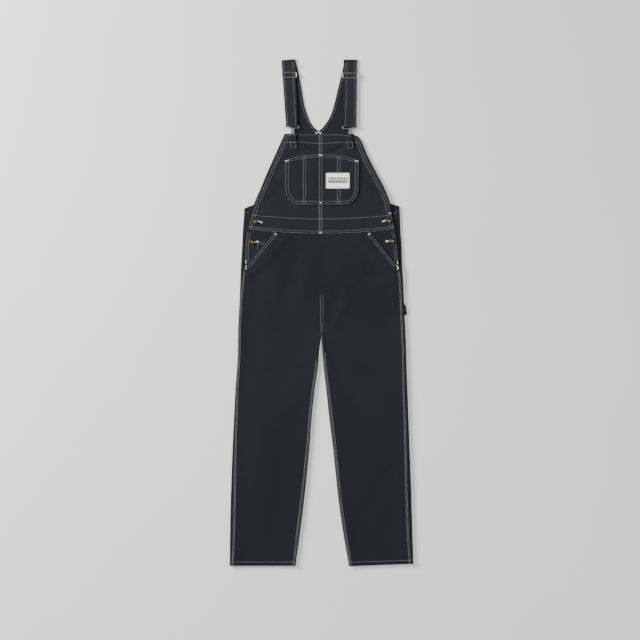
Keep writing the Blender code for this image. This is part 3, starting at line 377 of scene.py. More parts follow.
@dataclass
class Panel:
    """A piece of cloth as a grid of points along its middle.

    Attributes:
        node: the node that the piece stands for.
        middle: points of the grid, rows by columns by 3.
        outward: 1 where the rows' direction crossed with the columns' looks outward.
        raised: extra depth on the outer side.
        wear: how worn the cloth is, held between 0 and 1.
        thickness: depth of the cloth.
        shade: how much paler or darker this cut is: its roll's tone plus painted light and shade.
        along_path: whether the warp follows the rows' path instead of the Y axis.
    """

    node: str
    middle: Array
    outward: float
    raised: Array | float = 0.0
    wear: Array | float = 0.0
    thickness: float = CLOTH
    shade: Array | float = 0.0
    along_path: bool = False

    def __post_init__(self) -> None:
        """Spread the relief and the wear over the whole grid, the wear held between 0 and 1."""
        shape = self.middle.shape[:2]
        self.raised = np.broadcast_to(self.raised, shape)
        self.wear = np.broadcast_to(np.clip(self.wear, 0.0, 1.0), shape)

    def normals(self) -> Array:
        """Unit normals: the gradient along rows crossed with that along columns."""
        cross = np.cross(np.gradient(self.middle, axis=0), np.gradient(self.middle, axis=1))
        length = np.linalg.norm(cross, axis=2, keepdims=True)
        return cross / np.maximum(length, 1e-9) * self.outward

    def outer(self) -> Array:
        """The middle plus its normal times half the thickness and the raise."""
        depth = self.thickness / 2 + self.raised
        return above_surface(self.middle + self.normals() * depth[:, :, None])

    def inner(self) -> Array:
        """The middle minus its normal times half the thickness."""
        return above_surface(self.middle - self.normals() * (self.thickness / 2))

    def flat(self) -> Array:
        """Place of each point on the flat cloth.

        Returns:
            The arc across from the middle column, the way along the warp, and the shade, which holds roll
            tone plus painted light and shade.
        """
        steps = np.linalg.norm(np.diff(self.middle, axis=1), axis=2)
        arcs = np.pad(np.cumsum(steps, axis=1), ((0, 0), (1, 0)))
        half = self.middle.shape[1] // 2
        across = arcs - arcs[:, half : half + 1] + self.middle[:, half : half + 1, 0]
        along = self.middle[:, :, 1]
        if self.along_path:
            rises = np.linalg.norm(np.diff(self.middle, axis=0), axis=2).mean(axis=1)
            along = np.broadcast_to(np.pad(np.cumsum(rises), (1, 0))[:, None], across.shape)
        shade = np.broadcast_to(self.shade, across.shape) / METRES
        return np.stack([across, along, shade], axis=2)

    def cut(self) -> tuple[float, float, float]:
        """Width, length and area of the flat cut, in metres and square metres.

        The width is the longest way over a row seen along Y, the length the longest way
        down a column seen along X, and the area that of all the quads.
        """
        across = np.linalg.norm(np.diff(self.middle[..., [0, 2]], axis=1), axis=2).sum(axis=1)
        along = np.linalg.norm(np.diff(self.middle[..., [1, 2]], axis=0), axis=2).sum(axis=0)
        first = self.middle[1:, 1:] - self.middle[:-1, :-1]
        second = self.middle[1:, :-1] - self.middle[:-1, 1:]
        area = np.linalg.norm(np.cross(first, second), axis=2).sum() / 2
        width = float(across.max()) * METRES
        length = float(along.max()) * METRES
        return width, length, min(float(area) * METRES**2, width * length)


def above_surface(points: Array) -> Array:
    """Keep points from sinking below the surface that the garment lies on."""
    kept = points.copy()
    kept[..., 2] = np.maximum(kept[..., 2], 0.0)
    return kept


@dataclass
class HeightMap:
    """The highest cloth over each small square of the page.

    Attributes:
        low: (x, y) of its lower corner.
        high: (x, y) of its upper corner.
        cell: side of a square.
    """

    low: Point = (-292.0, -792.0)
    high: Point = (292.0, 792.0)
    cell: float = 0.9
    levels: Array = field(init=False)

    def __post_init__(self) -> None:
        """Start with an empty page."""
        columns = int((self.high[0] - self.low[0]) / self.cell) + 2
        rows = int((self.high[1] - self.low[1]) / self.cell) + 2
        self.levels = np.zeros((rows, columns))

    def lay(self, surface: Array) -> None:
        """Lay a grid of points over the page.

        Each quad is filled with points between its corners, weighted by their share
        of both sides, closer together than a square of the map.

        Args:
            surface: rows by columns by 3.
        """
        across = np.linalg.norm(np.diff(surface, axis=1), axis=2).max()
        along = np.linalg.norm(np.diff(surface, axis=0), axis=2).max()
        columns = int(math.ceil(across / self.cell)) + 1
        rows = int(math.ceil(along / self.cell)) + 1
        for down in np.linspace(0.0, 1.0, rows + 1):
            line = surface[:-1] * (1 - down) + surface[1:] * down
            for over in np.linspace(0.0, 1.0, columns + 1):
                point = (line[:, :-1] * (1 - over) + line[:, 1:] * over).reshape(-1, 3)
                column = np.rint((point[:, 0] - self.low[0]) / self.cell).astype(int)
                row = np.rint((point[:, 1] - self.low[1]) / self.cell).astype(int)
                np.maximum.at(self.levels, (row, column), point[:, 2])

    def at(self, x: Array, y: Array) -> Array:
        """Level at each point, weighted between the four nearest squares."""
        column = np.clip((x - self.low[0]) / self.cell, 0, self.levels.shape[1] - 1.001)
        row = np.clip((y - self.low[1]) / self.cell, 0, self.levels.shape[0] - 1.001)
        j, i = column.astype(int), row.astype(int)
        s, t = column - j, row - i
        lower = self.levels[i, j] * (1 - s) + self.levels[i, j + 1] * s
        upper = self.levels[i + 1, j] * (1 - s) + self.levels[i + 1, j + 1] * s
        return lower * (1 - t) + upper * t


# Shader maths


class Value:
    """A socket of a material that takes part in Python sums."""

    def __init__(self, tree: "Finish", socket: Socket) -> None:
        """Keep the socket and the finish whose nodes it belongs to."""
        self.tree = tree
        self.socket = socket

    def maths(self, operation: str, *others: "Value | float") -> "Value":
        """Add a Math node with this value first.

        Args:
            operation: the node's operation.
            others: its second and third values.

        Returns:
            The node's result.
        """
        inputs = dict(enumerate((self, *others)))
        made = self.tree.node("ShaderNodeMath", {"operation": operation}, inputs)
        return Value(self.tree, made.outputs[0])

    def __add__(self, other: "Value | float") -> "Value":
        """Sum."""
        return self.maths("ADD", other)

    __radd__ = __add__

    def __mul__(self, other: "Value | float") -> "Value":
        """Product."""
        return self.maths("MULTIPLY", other)

    __rmul__ = __mul__

    def __sub__(self, other: "Value | float") -> "Value":
        """Difference."""
        return self.maths("SUBTRACT", other)

    def __rsub__(self, other: float) -> "Value":
        """A number minus this value."""
        return self.maths("MULTIPLY", -1.0) + other

    def __truediv__(self, other: "Value | float") -> "Value":
        """Quotient."""
        return self.maths("DIVIDE", other)

    def __abs__(self) -> "Value":
        """Size without its sign."""
        return self.maths("ABSOLUTE")

    def wave(self, length: float) -> "Value":
        """Sine that repeats over the given length, from 0 to 1."""
        return (self * (2.0 * math.pi / length)).maths("SINE") * 0.5 + 0.5

    def between(self, low: float, high: float) -> "Value":
        """Share of the way from low to high, held between 0 and 1."""
        inputs = {"Value": self, "From Min": low, "From Max": high}
        made = self.tree.node("ShaderNodeMapRange", {"interpolation_type": "SMOOTHSTEP"}, inputs)
        return Value(self.tree, made.outputs["Result"])


class Finish:
    """The nodes of one material."""

    def __init__(self, name: str) -> None:
        """Start a material with its shader and output."""
        self.material = bpy.data.materials.new(name)
        self.material.use_nodes = True
        self.nodes = self.material.node_tree.nodes
        self.links = self.material.node_tree.links
        self.shader = self.nodes["Principled BSDF"]

    def feed(self, socket: Socket, value: Any) -> None:
        """Link a socket to a value, or set it to a number, colour or vector."""
        if isinstance(value, Value):
            self.links.new(value.socket, socket)
        elif isinstance(value, Socket):
            self.links.new(value, socket)
        elif isinstance(value, tuple) and socket.type == "RGBA":
            socket.default_value = (*value, 1.0)
        else:
            socket.default_value = value

    def node(self, kind: str, settings: dict[str, Any], inputs: dict[Any, Any]) -> bpy.types.Node:
        """Add a node.

        Args:
            kind: the node's type.
            settings: its properties, set before its sockets.
            inputs: values or links by socket name or number.

        Returns:
            The new node.
        """
        made = self.nodes.new(kind)
        for name, setting in settings.items():
            setattr(made, name, setting)
        for key, value in inputs.items():
            self.feed(made.inputs[key], value)
        return made

    def set(self, **inputs: Any) -> None:
        """Set or link the shader's sockets, with spaces written as underscores."""
        for name, value in inputs.items():
            self.feed(self.shader.inputs[name.replace("_", " ")], value)

    def attribute(self, name: str) -> Socket:
        """Vector of a mesh attribute."""
        return self.node("ShaderNodeAttribute", {"attribute_name": name}, {}).outputs["Vector"]

    def amount(self, name: str) -> Value:
        """Number of a mesh attribute."""
        made = self.node("ShaderNodeAttribute", {"attribute_name": name}, {})
        return Value(self, made.outputs["Fac"])

    def place(self) -> Socket:
        """Object coordinates."""
        return self.node("ShaderNodeTexCoord", {}, {}).outputs["Object"]

    def parts(self, vector: Socket) -> tuple[Value, Value, Value]:
        """The three numbers of a vector."""
        made = self.node("ShaderNodeSeparateXYZ", {}, {0: vector})
        x, y, z = (Value(self, output) for output in made.outputs)
        return x, y, z

    def stretched(self, vector: Socket, scale: Colour) -> Socket:
        """The vector times a scale along each axis."""
        settings = {"operation": "MULTIPLY"}
        return self.node("ShaderNodeVectorMath", settings, {0: vector, 1: scale}).outputs[0]

    def upright(self) -> Value:
        """How far a face looks straight up or down, from 0 to 1."""
        normal = self.node("ShaderNodeNewGeometry", {}, {}).outputs["Normal"]
        return abs(Value(self, self.node("ShaderNodeSeparateXYZ", {}, {0: normal}).outputs[2]))

    def noise(self, vector: Socket, scale: float, detail: float = 2.0) -> Value:
        """Smooth noise with the given number of cells in a metre."""
        inputs = {"Vector": vector, "Scale": scale, "Detail": detail, "Roughness": 0.55}
        return Value(self, self.node("ShaderNodeTexNoise", {}, inputs).outputs[0])

    def mix(self, share: "Value | float", first: Any, second: Any) -> Socket:
        """Blend two colours."""
        made = self.node("ShaderNodeMix", {"data_type": "RGBA"}, {0: share, 6: first, 7: second})
        return made.outputs[2]

    def bump(self, height: Value, distance: float, strength: float) -> Socket:
        """Normal of a relief of the given depth in metres."""
        inputs = {"Strength": strength, "Distance": distance, "Height": height}
        return self.node("ShaderNodeBump", {}, inputs).outputs["Normal"]


@dataclass(frozen=True)
class Twill:
    """Dark overdyed twill: diagonal wales, streaky yarn, soft nap, paler seam edges."""

    name: str = "dark_twill"
    deep: Colour = (0.0036, 0.0044, 0.0061)
    face: Colour = (0.0120, 0.0138, 0.0176)
    worn: Colour = (0.0480, 0.0440, 0.0520)
    # Painted shade for faces that look sideways, as at turned edges
    edge: Colour = (0.0022, 0.0026, 0.0036)
    wale: float = 0.00105
    yarn: float = 0.00052

    def make(self) -> Material:
        """Build the material.

        The wales are a sine of the warp and weft places added at a slant, the yarns
        finer sines along each, and the streaks noise drawn out along the warp. The
        paler yarns show on the wales, on streaks and where the cloth is worn, and the
        shade attribute adds each cut's roll tone with its painted light and shade. Faces
        that look sideways, as at turned edges, get the darker edge colour: painted shade.

        Returns:
            The material.
        """
        finish = Finish(self.name)
        cloth = finish.attribute("cloth")
        across, along, shade = finish.parts(cloth)
        wear = finish.amount("wear")
        wales = (across * 0.87 + along * 0.50).wave(self.wale)
        warp = across.wave(self.yarn)
        weft = along.wave(self.yarn * 1.35)
        streaks = finish.noise(finish.stretched(cloth, (900.0, 55.0, 0.0)), 1.0, 3.0)
        slubs = finish.noise(finish.stretched(cloth, (70.0, 420.0, 0.0)), 1.0, 2.0)
        cloudy = finish.noise(cloth, 9.0, 3.0)
        broad = finish.noise(cloth, 2.6, 2.0)
        light = wales * 0.22 + streaks * 0.32 + slubs * 0.12 + cloudy * 0.24 + broad * 0.34
        # The shade brings in roll tone plus painted light on straps, bib and pocket and painted shade
        # along the bib's creases
        light = light + shade + (-0.12)
        face = finish.mix(light.between(0.12, 0.96), self.deep, self.face)
        rubbed = (wear * (0.45 + streaks * 0.5 + cloudy * 0.4)).between(0.05, 1.0)
        cloth_colour = finish.mix(rubbed, face, self.worn)
        # Painted shade: faces that look sideways get the darker edge colour
        colour = finish.mix(finish.upright().between(0.30, 0.86), self.edge, cloth_colour)
        relief = wales * 0.5 + warp * 0.22 + weft * 0.12 + slubs * 0.35 + streaks * 0.25
        finish.set(
            Base_Color=colour, Roughness=0.80 + cloudy * 0.14, Normal=finish.bump(relief, 0.00016, 0.55),
            Sheen_Weight=0.06, Sheen_Roughness=0.45, Sheen_Tint=(0.50, 0.60, 0.85),
            Specular_IOR_Level=0.15
        )
        return finish.material


@dataclass(frozen=True)
class SewingThread:
    """Pale polyester thread: twisted plies with a slight gloss."""

    name: str = "pale_thread"
    light: Colour = (0.41, 0.40, 0.435)
    dull: Colour = (0.26, 0.26, 0.29)

    def make(self) -> Material:
        """Build the material: slanting plies from the way along and around the thread."""
        finish = Finish(self.name)
        along, around, _ = finish.parts(finish.attribute("cloth"))
        plies = (along + around * 0.55).wave(0.0009)
        spots = finish.noise(finish.place(), 260.0, 2.0)
        share = (plies * 0.6 + spots * 0.6).between(0.15, 0.95)
        finish.set(
            Base_Color=finish.mix(share, self.dull, self.light), Roughness=0.62 - plies * 0.12,
            Normal=finish.bump(plies, 0.00012, 0.6), Specular_IOR_Level=0.35
        )
        return finish.material


@dataclass(frozen=True)
class Metal:
    """Plated or patinated fitting with fine scratches and cloudy tarnish."""

    name: str
    bright: Colour
    dull: Colour
    gloss: float
    # Colour mixed in where the wear attribute is high; on the buttons it is a painted highlight
    rubbed: Colour = (0.37, 0.355, 0.33)

    def make(self) -> Material:
        """Build the material: cloudy tarnish, drawn scratches, small dents, and the rubbed colour where
        the wear attribute is high, a painted highlight on the buttons.
        """
        finish = Finish(self.name)
        place = finish.place()
        tarnish = finish.noise(place, 170.0, 4.0)
        scratches = finish.noise(finish.stretched(place, (2600.0, 190.0, 700.0)), 1.0, 2.0)
        dents = finish.noise(place, 900.0, 2.0)
        share = (tarnish * 0.75 + scratches * 0.3).between(0.28, 0.72)
        finish.set(
            Base_Color=finish.mix(
                finish.amount("wear"), finish.mix(share, self.dull, self.bright), self.rubbed
            ),
            Metallic=1.0, Roughness=self.gloss + scratches * 0.12 + (1.0 - share) * 0.16,
            Normal=finish.bump(dents * 0.6 + scratches * 0.4, 0.00006, 0.5)
        )
        return finish.material


@dataclass(frozen=True)
class WovenLabel:
    """Off-white woven patch with a fine frame, a row of dark blocks and a dark band."""

    name: str = "label_weave"
    ground: Colour = (0.97, 0.96, 0.93)
    shadow: Colour = (0.88, 0.87, 0.84)
    ink: Colour = (0.012, 0.013, 0.016)
    centre: Point = (0.0503, 0.4086)
    frame_half: Point = (0.0336, 0.0206)
    frame_line: float = 0.0007
    block_pitch: float = 0.0100
    block_half: float = 0.0041
    block_rise: float = 0.0066
    row_half: float = 0.0300
    band_low: float = -0.0028
    band_half: float = 0.0044
    soft_edge: float = 0.0002

    def make(self) -> Material:
        """Build the material.

        The frame is where the larger of both distances from the centre, each measured
        from its own half size, is near 0. A block is where the larger of the distances
        from the nearest place in the row and from the row's line is small. The band
        lies below the row and ends with it, and has a row of pale lozenges, where the
        sum of such distances is small.

        Returns:
            The material.
        """
        finish = Finish(self.name)
        cloth = finish.attribute("cloth")
        across, along, _ = finish.parts(cloth)
        east = abs(across - self.centre[0])
        north = abs(along - self.centre[1])
        edge = (east - self.frame_half[0]).maths("MAXIMUM", north - self.frame_half[1])
        frame_mask = 1.0 - abs(edge).between(self.frame_line * 0.6, self.frame_line)
        phase = (across - self.centre[0]) / self.block_pitch + 20.5
        beside = abs(phase.maths("FRACT") - 0.5) * self.block_pitch
        above = abs(along - (self.centre[1] + self.block_rise))
        below = abs(along - (self.centre[1] + self.band_low))
        reach = beside.maths("MAXIMUM", above)
        block = 1.0 - reach.between(self.block_half * 0.85, self.block_half)
        pale = 1.0 - (beside + below).between(self.block_half * 0.45, self.block_half * 0.55)
        band = 1.0 - below.between(self.band_half - self.soft_edge, self.band_half)
        band = band * (1.0 - pale * 0.7)
        in_row = 1.0 - east.between(self.row_half - self.soft_edge, self.row_half)
        ink = frame_mask.maths("MAXIMUM", block.maths("MAXIMUM", band) * in_row)
        ribs = along.wave(0.00055)
        picks = across.wave(0.0008)
        fuzz = finish.noise(cloth, 420.0, 2.0)
        ground = finish.mix((ribs * 0.4 + fuzz * 0.6).between(0.1, 0.8), self.shadow, self.ground)
        finish.set(
            Base_Color=finish.mix(ink * (0.86 + fuzz * 0.14), ground, self.ink),
            Roughness=0.64 + fuzz * 0.16,
            Normal=finish.bump(ribs * 0.6 + picks * 0.3 + fuzz * 0.3, 0.00010, 0.6), Sheen_Weight=0.10
        )
        return finish.material


@dataclass(frozen=True)
class PaperFloor:
    """Plain pale studio paper with the faintest mottling."""

    name: str = "studio_paper"
    pale: Colour = (0.76, 0.757, 0.745)
    soft: Colour = (0.745, 0.742, 0.73)

    def make(self) -> Material:
        """Build the material."""
        finish = Finish(self.name)
        cloudy = finish.noise(finish.place(), 1.7, 2.0)
        finish.set(
            Base_Color=finish.mix(cloudy.between(0.3, 0.7), self.soft, self.pale), Roughness=0.92,
            Specular_IOR_Level=0.2
        )
        return finish.material


# Making pieces


class Workroom:
    """Holds the finishes and the height map, and turns panels into pieces.

    Every sub-assembly below keeps it in its field room.
    """

    narrowest: float = 0.01

    def __init__(self) -> None:
        """Mix every finish once."""
        self.twill = Twill().make()
        self.thread = SewingThread().make()
        self.bar_thread = SewingThread("bar_thread", (0.90, 0.90, 0.90), (0.68, 0.68, 0.70)).make()
        self.nickel = Metal("worn_nickel", (0.37, 0.355, 0.33), (0.17, 0.16, 0.15), 0.30).make()
        # The bronze's pale rubbed colour is the painted highlight on the buttons' domes
        self.bronze = Metal(
            "aged_bronze", (0.078, 0.058, 0.026), (0.022, 0.018, 0.010), 0.30, (0.42, 0.35, 0.21)
        ).make()
        self.label = WovenLabel().make()
        self.heights = HeightMap()
        self.count = 0

    def keep(self, piece: bpy.types.Object, slot: Slot, *nodes: str) -> bpy.types.Object:
        """Ride a piece on the part, hide the nodes it stands for, and log its triangles."""
        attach(piece, "root")
        if nodes:
            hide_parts(*nodes)
        triangles = sum(len(face.vertices) - 2 for face in piece.data.polygons)
        self.count += triangles
        LOG.info("%s: %d triangles", piece.name, triangles)
        return piece

    def cloth(
        self, panel: Panel, hold: Hold = Hold.LAID, rests_on: Sequence[str] = (),
        finish: Material | None = None, slot: Slot = Slot.CANVAS
    ) -> bpy.types.Object:
        """Make the piece of a panel and lay it on the height map.

        Args:
            panel: the panel.
            hold: how it lies; not used.
            rests_on: nodes that it lies on; not used.
            finish: its material, the twill unless another is given.
            slot: its slot in the record; passed on but not used.

        Returns:
            The piece.
        """
        outer, inner = panel.outer(), panel.inner()
        rows, columns = outer.shape[:2]
        quads = grid_quads(rows, columns, panel.outward < 0)
        points, faces = close_shell(outer.reshape(-1, 3), inner.reshape(-1, 3), quads)
        flat = np.tile(panel.flat().reshape(-1, 3), (2, 1))
        wear = np.tile(panel.wear.ravel(), 2)
        name = "cloth_" + panel.node
        piece = write_mesh(name, points, faces, finish or self.twill, flat, wear)
        self.heights.lay(outer)
        width, length, area = panel.cut()
        return self.keep(piece, slot, panel.node)


# Trousers


@dataclass(frozen=True)
class LegLines:
    """Outline of one leg and the seams on its front.

    Attributes:
        outer: distance of the outer outline from the centre line.
        inner: distance of the inner outline from the centre line.
        outseam: how far inside the outer outline the outseam shows.
        inseam: how far inside the inner outline the inseam shows.
    """

    outer: Course
    inner: Course
    outseam: Course
    inseam: Course

    @classmethod
    def of(cls, *rows: tuple[float, float, float, float, float]) -> "LegLines":
        """Make them from rows of y, outer, inner, outseam and inseam."""
        table = np.array(sorted(rows))
        return cls(*(Course(table[:, 0], table[:, column]) for column in range(1, 5)))


RIGHT_LEG = LegLines.of(
    (341, 240.0, 0.0, 4.0, 0.0), (306, 240.4, 0.0, 4.0, 0.0), (253, 244.1, 0.0, 4.5, 0.0),
    (205, 246.3, 0.0, 5.0, 0.0), (157, 249.1, 0.0, 5.0, 0.0), (131, 250.4, 0.0, 12.5, 0.0),
    (83, 252.2, 0.0, 9.0, 0.0), (39, 254.0, 0.0, 6.0, 0.0), (-60, 258.7, 0.0, 5.8, 0.0),
    (-117, 259.3, 7.3, 5.8, 5.8), (-165, 261.5, 11.0, 5.8, 5.8), (-240, 267.1, 21.5, 7.0, 5.8),
    (-314, 270.8, 29.6, 8.5, 6.0), (-426, 276.0, 38.3, 10.0, 7.0), (-575, 281.3, 53.5, 13.0, 8.7),
    (-674, 283.4, 65.6, 13.0, 8.7), (-786, 284.5, 80.8, 9.0, 6.0)
)
LEFT_LEG = LegLines.of(
    (341, 241.5, 0.0, 4.0, 0.0), (306, 242.6, 0.0, 4.0, 0.0), (253, 244.7, 0.0, 4.5, 0.0),
    (205, 248.0, 0.0, 5.0, 0.0), (157, 249.4, 0.0, 5.0, 0.0), (131, 250.6, 0.0, 11.0, 0.0),
    (83, 253.4, 0.0, 9.5, 0.0), (8, 256.2, 0.0, 9.6, 0.0), (-60, 260.0, 0.0, 10.5, 0.0),
    (-117, 262.0, 3.0, 9.8, 6.5), (-165, 263.3, 6.0, 10.0, 6.5), (-240, 266.1, 14.7, 12.0, 8.0),
    (-314, 268.9, 22.5, 11.5, 9.0), (-426, 273.0, 36.1, 13.0, 8.0), (-575, 278.5, 51.9, 15.0, 7.7),
    (-674, 281.3, 65.9, 14.5, 7.7), (-786, 284.5, 85.1, 11.0, 6.5)
)
LEGS = {Side.RIGHT: RIGHT_LEG, Side.LEFT: LEFT_LEG}

SIDE_FOLD = Course.of((341, 3.0), (160, 3.0), (131, 6.0), (83, 5.4), (39, 5.0), (-786, 5.0))


def waist_edge(x: Array) -> Array:
    """Waist seam: it rises from the middle with the square of the distance."""
    return 244.0 + 14.5 * (np.abs(x) / 226.0) ** 2


def band_edge(x: Array) -> Array:
    """Upper edge of the waist band: it rises with the square of the distance."""
    return 292.0 + 12.7 * (np.abs(x) / 219.0) ** 2


def back_top_edge(side: Side, distance: Array) -> Array:
    """Upper edge of the back trousers: level, then sloping down to the side folds."""
    corner_x = 240.0
    corner_y, slope = (323.0, 0.38) if side is Side.RIGHT else (330.0, 0.27)
    return np.minimum(BACK_TOP_Y, corner_y + (corner_x - distance) * slope)


def wing_height(side: Side, distance: Array, y: Array) -> Array:
    """Height after the top rows are lowered to the sloping edge of the back."""
    start_y = 290.0
    share = np.clip((y - start_y) / (BACK_TOP_Y - start_y), 0.0, 1.0)
    return y - (BACK_TOP_Y - back_top_edge(side, distance)) * share


def hem_height(side: Side, distance: Array, y: Array) -> Array:
    """Height after the lowest rows are lifted where the hem isn't level."""
    inner_x, outer_x = 80.0, 284.0
    inner_lift, outer_lift = (1.5, 1.5) if side is Side.RIGHT else (0.0, 7.5)
    share = np.clip((distance - inner_x) / (outer_x - inner_x), 0.0, 1.0)
    lift = inner_lift + (outer_lift - inner_lift) * share
    return y + lift * np.clip((HEM_LIFT_Y - y) / (HEM_LIFT_Y - HEM_Y), 0.0, 1.0)


@dataclass
class Slash:
    """The slanted mouth of a hand pocket.

    Attributes:
        side: side of the garment.
        top_x: its distance from the centre line at the waist seam.
        low_x: its distance where it meets the outseam.
    """

    side: Side
    top_x: float
    low_x: float

    def at(self, y: Array) -> Array:
        """Distance of the straight mouth from the centre line."""
        share = (SLASH_TOP_Y - y) / (SLASH_TOP_Y - SLASH_LOW_Y)
        return self.top_x + (self.low_x - self.top_x) * share

    def inset(self, depth: float, trim: float = 4.0) -> Array:
        """Line on the front panel at a depth inside the mouth, trimmed at both ends."""
        start = np.array([self.top_x, SLASH_TOP_Y])
        end = np.array([self.low_x, SLASH_LOW_Y])
        along = (end - start) / np.linalg.norm(end - start)
        inward = np.array([along[1], -along[0]])
        line = np.stack([start + along * trim, end - along * trim]) + inward * depth
        return line * np.array([self.side.sign, 1.0])


SLASHES = {Side.RIGHT: Slash(Side.RIGHT, 144.0, 234.0), Side.LEFT: Slash(Side.LEFT, 149.3, 236.5)}


@dataclass
class Trousers:
    """Front and back panels of both legs, from the waist to the hems.

    Attributes:
        row_step: distance between the rows of a panel.
        fine_step: distance between them over the hem and at the crotch.
        fine_rows: where the finer rows at the crotch begin and end.
        seam_wear: how worn the felled seams are.
        crotch_notch: how far the fronts part at the crotch.
        crotch_lap: how far their cloth rises there.
        crotch_spread: distance from the centre over which the back opens there.
        front_creases: creases of the front, largest first.
        fine_creases: sharper and shorter ones.
        back_creases: soft troughs of the back, lifted off the surface.
    """

    room: Workroom
    row_step: float = 4.0
    fine_step: float = 1.5
    fine_rows: Point = (-54.0, -78.0)
    seam_wear: float = 0.55
    crotch_notch: float = 0.5
    crotch_lap: float = 1.4
    crotch_spread: float = 14.0
    front_creases: tuple[Crease, ...] = crease_table(
        (-70, 212, -118, 10, 26, -1.1), (-150, 170, -182, -40, 32, 0.8), (-20, 190, -60, 20, 30, 0.8),
        (62, 60, 12, -45, 16, -1.2), (90, 95, 42, -30, 20, 0.9), (185, 128, 92, 66, 24, -1.0),
        (60, 195, 130, 150, 26, 0.7), (-62, -95, -132, -230, 28, -0.9), (-150, -80, -205, -250, 34, 0.7),
        (70, -120, 150, -270, 30, 0.7), (92, -255, 150, -420, 28, -0.9), (205, -190, 200, -430, 34, 0.7),
        (210, -470, 130, -660, 30, -0.9), (-185, -330, -200, -640, 36, 0.7),
        (-110, -420, -150, -700, 30, -0.7)
    )
    fine_creases: tuple[Crease, ...] = crease_table(
        (-14, -34, -62, -8, 5.0, 0.42, 3.0), (-12, -52, -74, -44, 4.2, 0.34, -2.0),
        (-16, -16, -48, 22, 6.0, 0.36, 2.5), (14, -30, 58, 2, 5.4, 0.44, -3.5),
        (12, -50, 66, -34, 4.6, 0.36, 2.0), (10, -4, 34, 44, 6.6, -0.40, 3.0),
        (-26, -84, -84, -70, 5.2, 0.30, 3.0), (24, -88, 92, -66, 6.0, 0.32, -4.0),
        (158, 96, 206, 128, 7.0, -0.42, 3.0), (128, 84, 176, 102, 9.0, 0.38, -4.0),
        (150, 62, 214, 70, 8.0, -0.30, 5.0), (-52, 176, -92, 96, 10.0, 0.35, 5.0),
        (-92, 208, -104, 150, 8.0, -0.32, 3.0), (40, 176, 56, 118, 9.0, 0.26, -3.0),
        (-204, 84, -232, 30, 9.0, 0.34, 3.0), (-214, 20, -240, -46, 7.5, -0.28, -3.0),
        (214, 62, 238, 10, 8.0, 0.30, 4.0), (-40, -150, -92, -168, 7.0, 0.26, 4.0),
        (-158, -196, -236, -214, 11.0, -0.30, 6.0), (46, -168, 128, -196, 9.0, 0.28, -6.0),
        (182, -236, 250, -262, 10.0, -0.26, 5.0), (-70, -268, -134, -300, 10.0, 0.24, -5.0),
        (-196, -290, -252, -338, 9.0, 0.26, 4.0), (58, -330, 118, -322, 12.0, 0.22, 5.0),
        (170, -356, 236, -396, 11.0, -0.24, -6.0), (-84, -372, -166, -404, 14.0, -0.26, 7.0),
        (-214, -446, -262, -470, 10.0, 0.24, 4.0), (78, -438, 150, -470, 12.0, 0.22, -6.0),
        (190, -520, 258, -540, 12.0, 0.24, 5.0), (-92, -520, -170, -540, 14.0, 0.20, -7.0),
        (-204, -588, -262, -640, 11.0, -0.24, 5.0), (98, -590, 160, -620, 13.0, -0.22, 6.0),
        (204, -650, 262, -690, 11.0, 0.26, -5.0), (-120, -660, -196, -690, 13.0, 0.22, 6.0),
        (118, -716, 176, -742, 10.0, 0.22, 4.0), (-214, -716, -262, -752, 9.0, 0.24, -3.0)
    )
    back_creases: tuple[Crease, ...] = crease_table(
        (-30, 150, -190, 96, 14.0, 0.55, 8.0), (34, 118, 180, 74, 12.0, 0.50, -7.0),
        (-24, 20, -150, 44, 10.0, 0.60, -6.0), (26, 8, 140, 46, 11.0, 0.55, 6.0),
        (-46, -150, -170, -190, 15.0, 0.45, 7.0), (60, -180, 196, -150, 13.0, 0.50, -8.0),
        (-90, -330, -230, -290, 16.0, 0.40, 6.0), (80, -360, 220, -400, 14.0, 0.45, 7.0),
        (-110, -520, -240, -560, 17.0, 0.35, -6.0), (110, -560, 230, -530, 15.0, 0.40, 5.0),
        (-130, -690, -200, -640, 12.0, 0.35, 5.0), (130, -700, 210, -730, 13.0, 0.35, -5.0)
    )

    def rows(self, top: float) -> Array:
        """Heights of the rows, closer together over the hem and at the crotch."""
        stops = (top, *self.fine_rows, HEM_Y + HEM_DEPTH + 3.0, HEM_Y)
        steps = (self.row_step, self.fine_step) * 2
        runs = [even(start, end, step) for start, end, step in zip(stops, stops[1:], steps)]
        return np.concatenate([run[:-1] for run in runs[:-1]] + runs[-1:])

    def hem_relief(self, distance: Array, y: Array) -> tuple[Array, Array]:
        """Relief and wear of the turned hem: a raised band with a slanting twist in it."""
        inside = 1.0 - ramp(y - HEM_Y, HEM_DEPTH, HEM_DEPTH + 2.0)
        twist = pucker(distance + 0.7 * (y - HEM_Y), 1.9)
        edge = bell(y - HEM_Y, 2.4) + 0.5 * bell(y - HEM_Y - HEM_DEPTH, 2.0)
        return inside * (0.40 + 0.12 * twist), edge * (0.12 + 0.10 * twist)

    def inner_outline(self, side: Side, y: Array) -> Array:
        """Inner outline of a leg below the crotch."""
        return np.maximum(LEGS[side].inner.at(y), LEG_SPLIT)

    def turned(self, y: Array) -> Array:
        """Share of the turn from the centre seam to the inner fold, straight below the crotch."""
        return np.clip((CROTCH_Y - y) / CROTCH_TURN, 0.0, 1.0)

    def felled_in(self, y: Array) -> Array:
        """How far the inseam's fell has risen below the crotch."""
        return ramp(CROTCH_Y - CROTCH_TURN - y, 0.0, 16.0)

    def felled_out(self, y: Array) -> Array:
        """How far the outseam's fell has risen below the slanted mouth."""
        return 1.0 - ramp(y, 126.0, 136.0)

    def worn_in(self, y: Array) -> Array:
        """How far the wear of the inseam has set in below the crotch."""
        return ramp(CROTCH_Y - y, 50.0, 100.0)

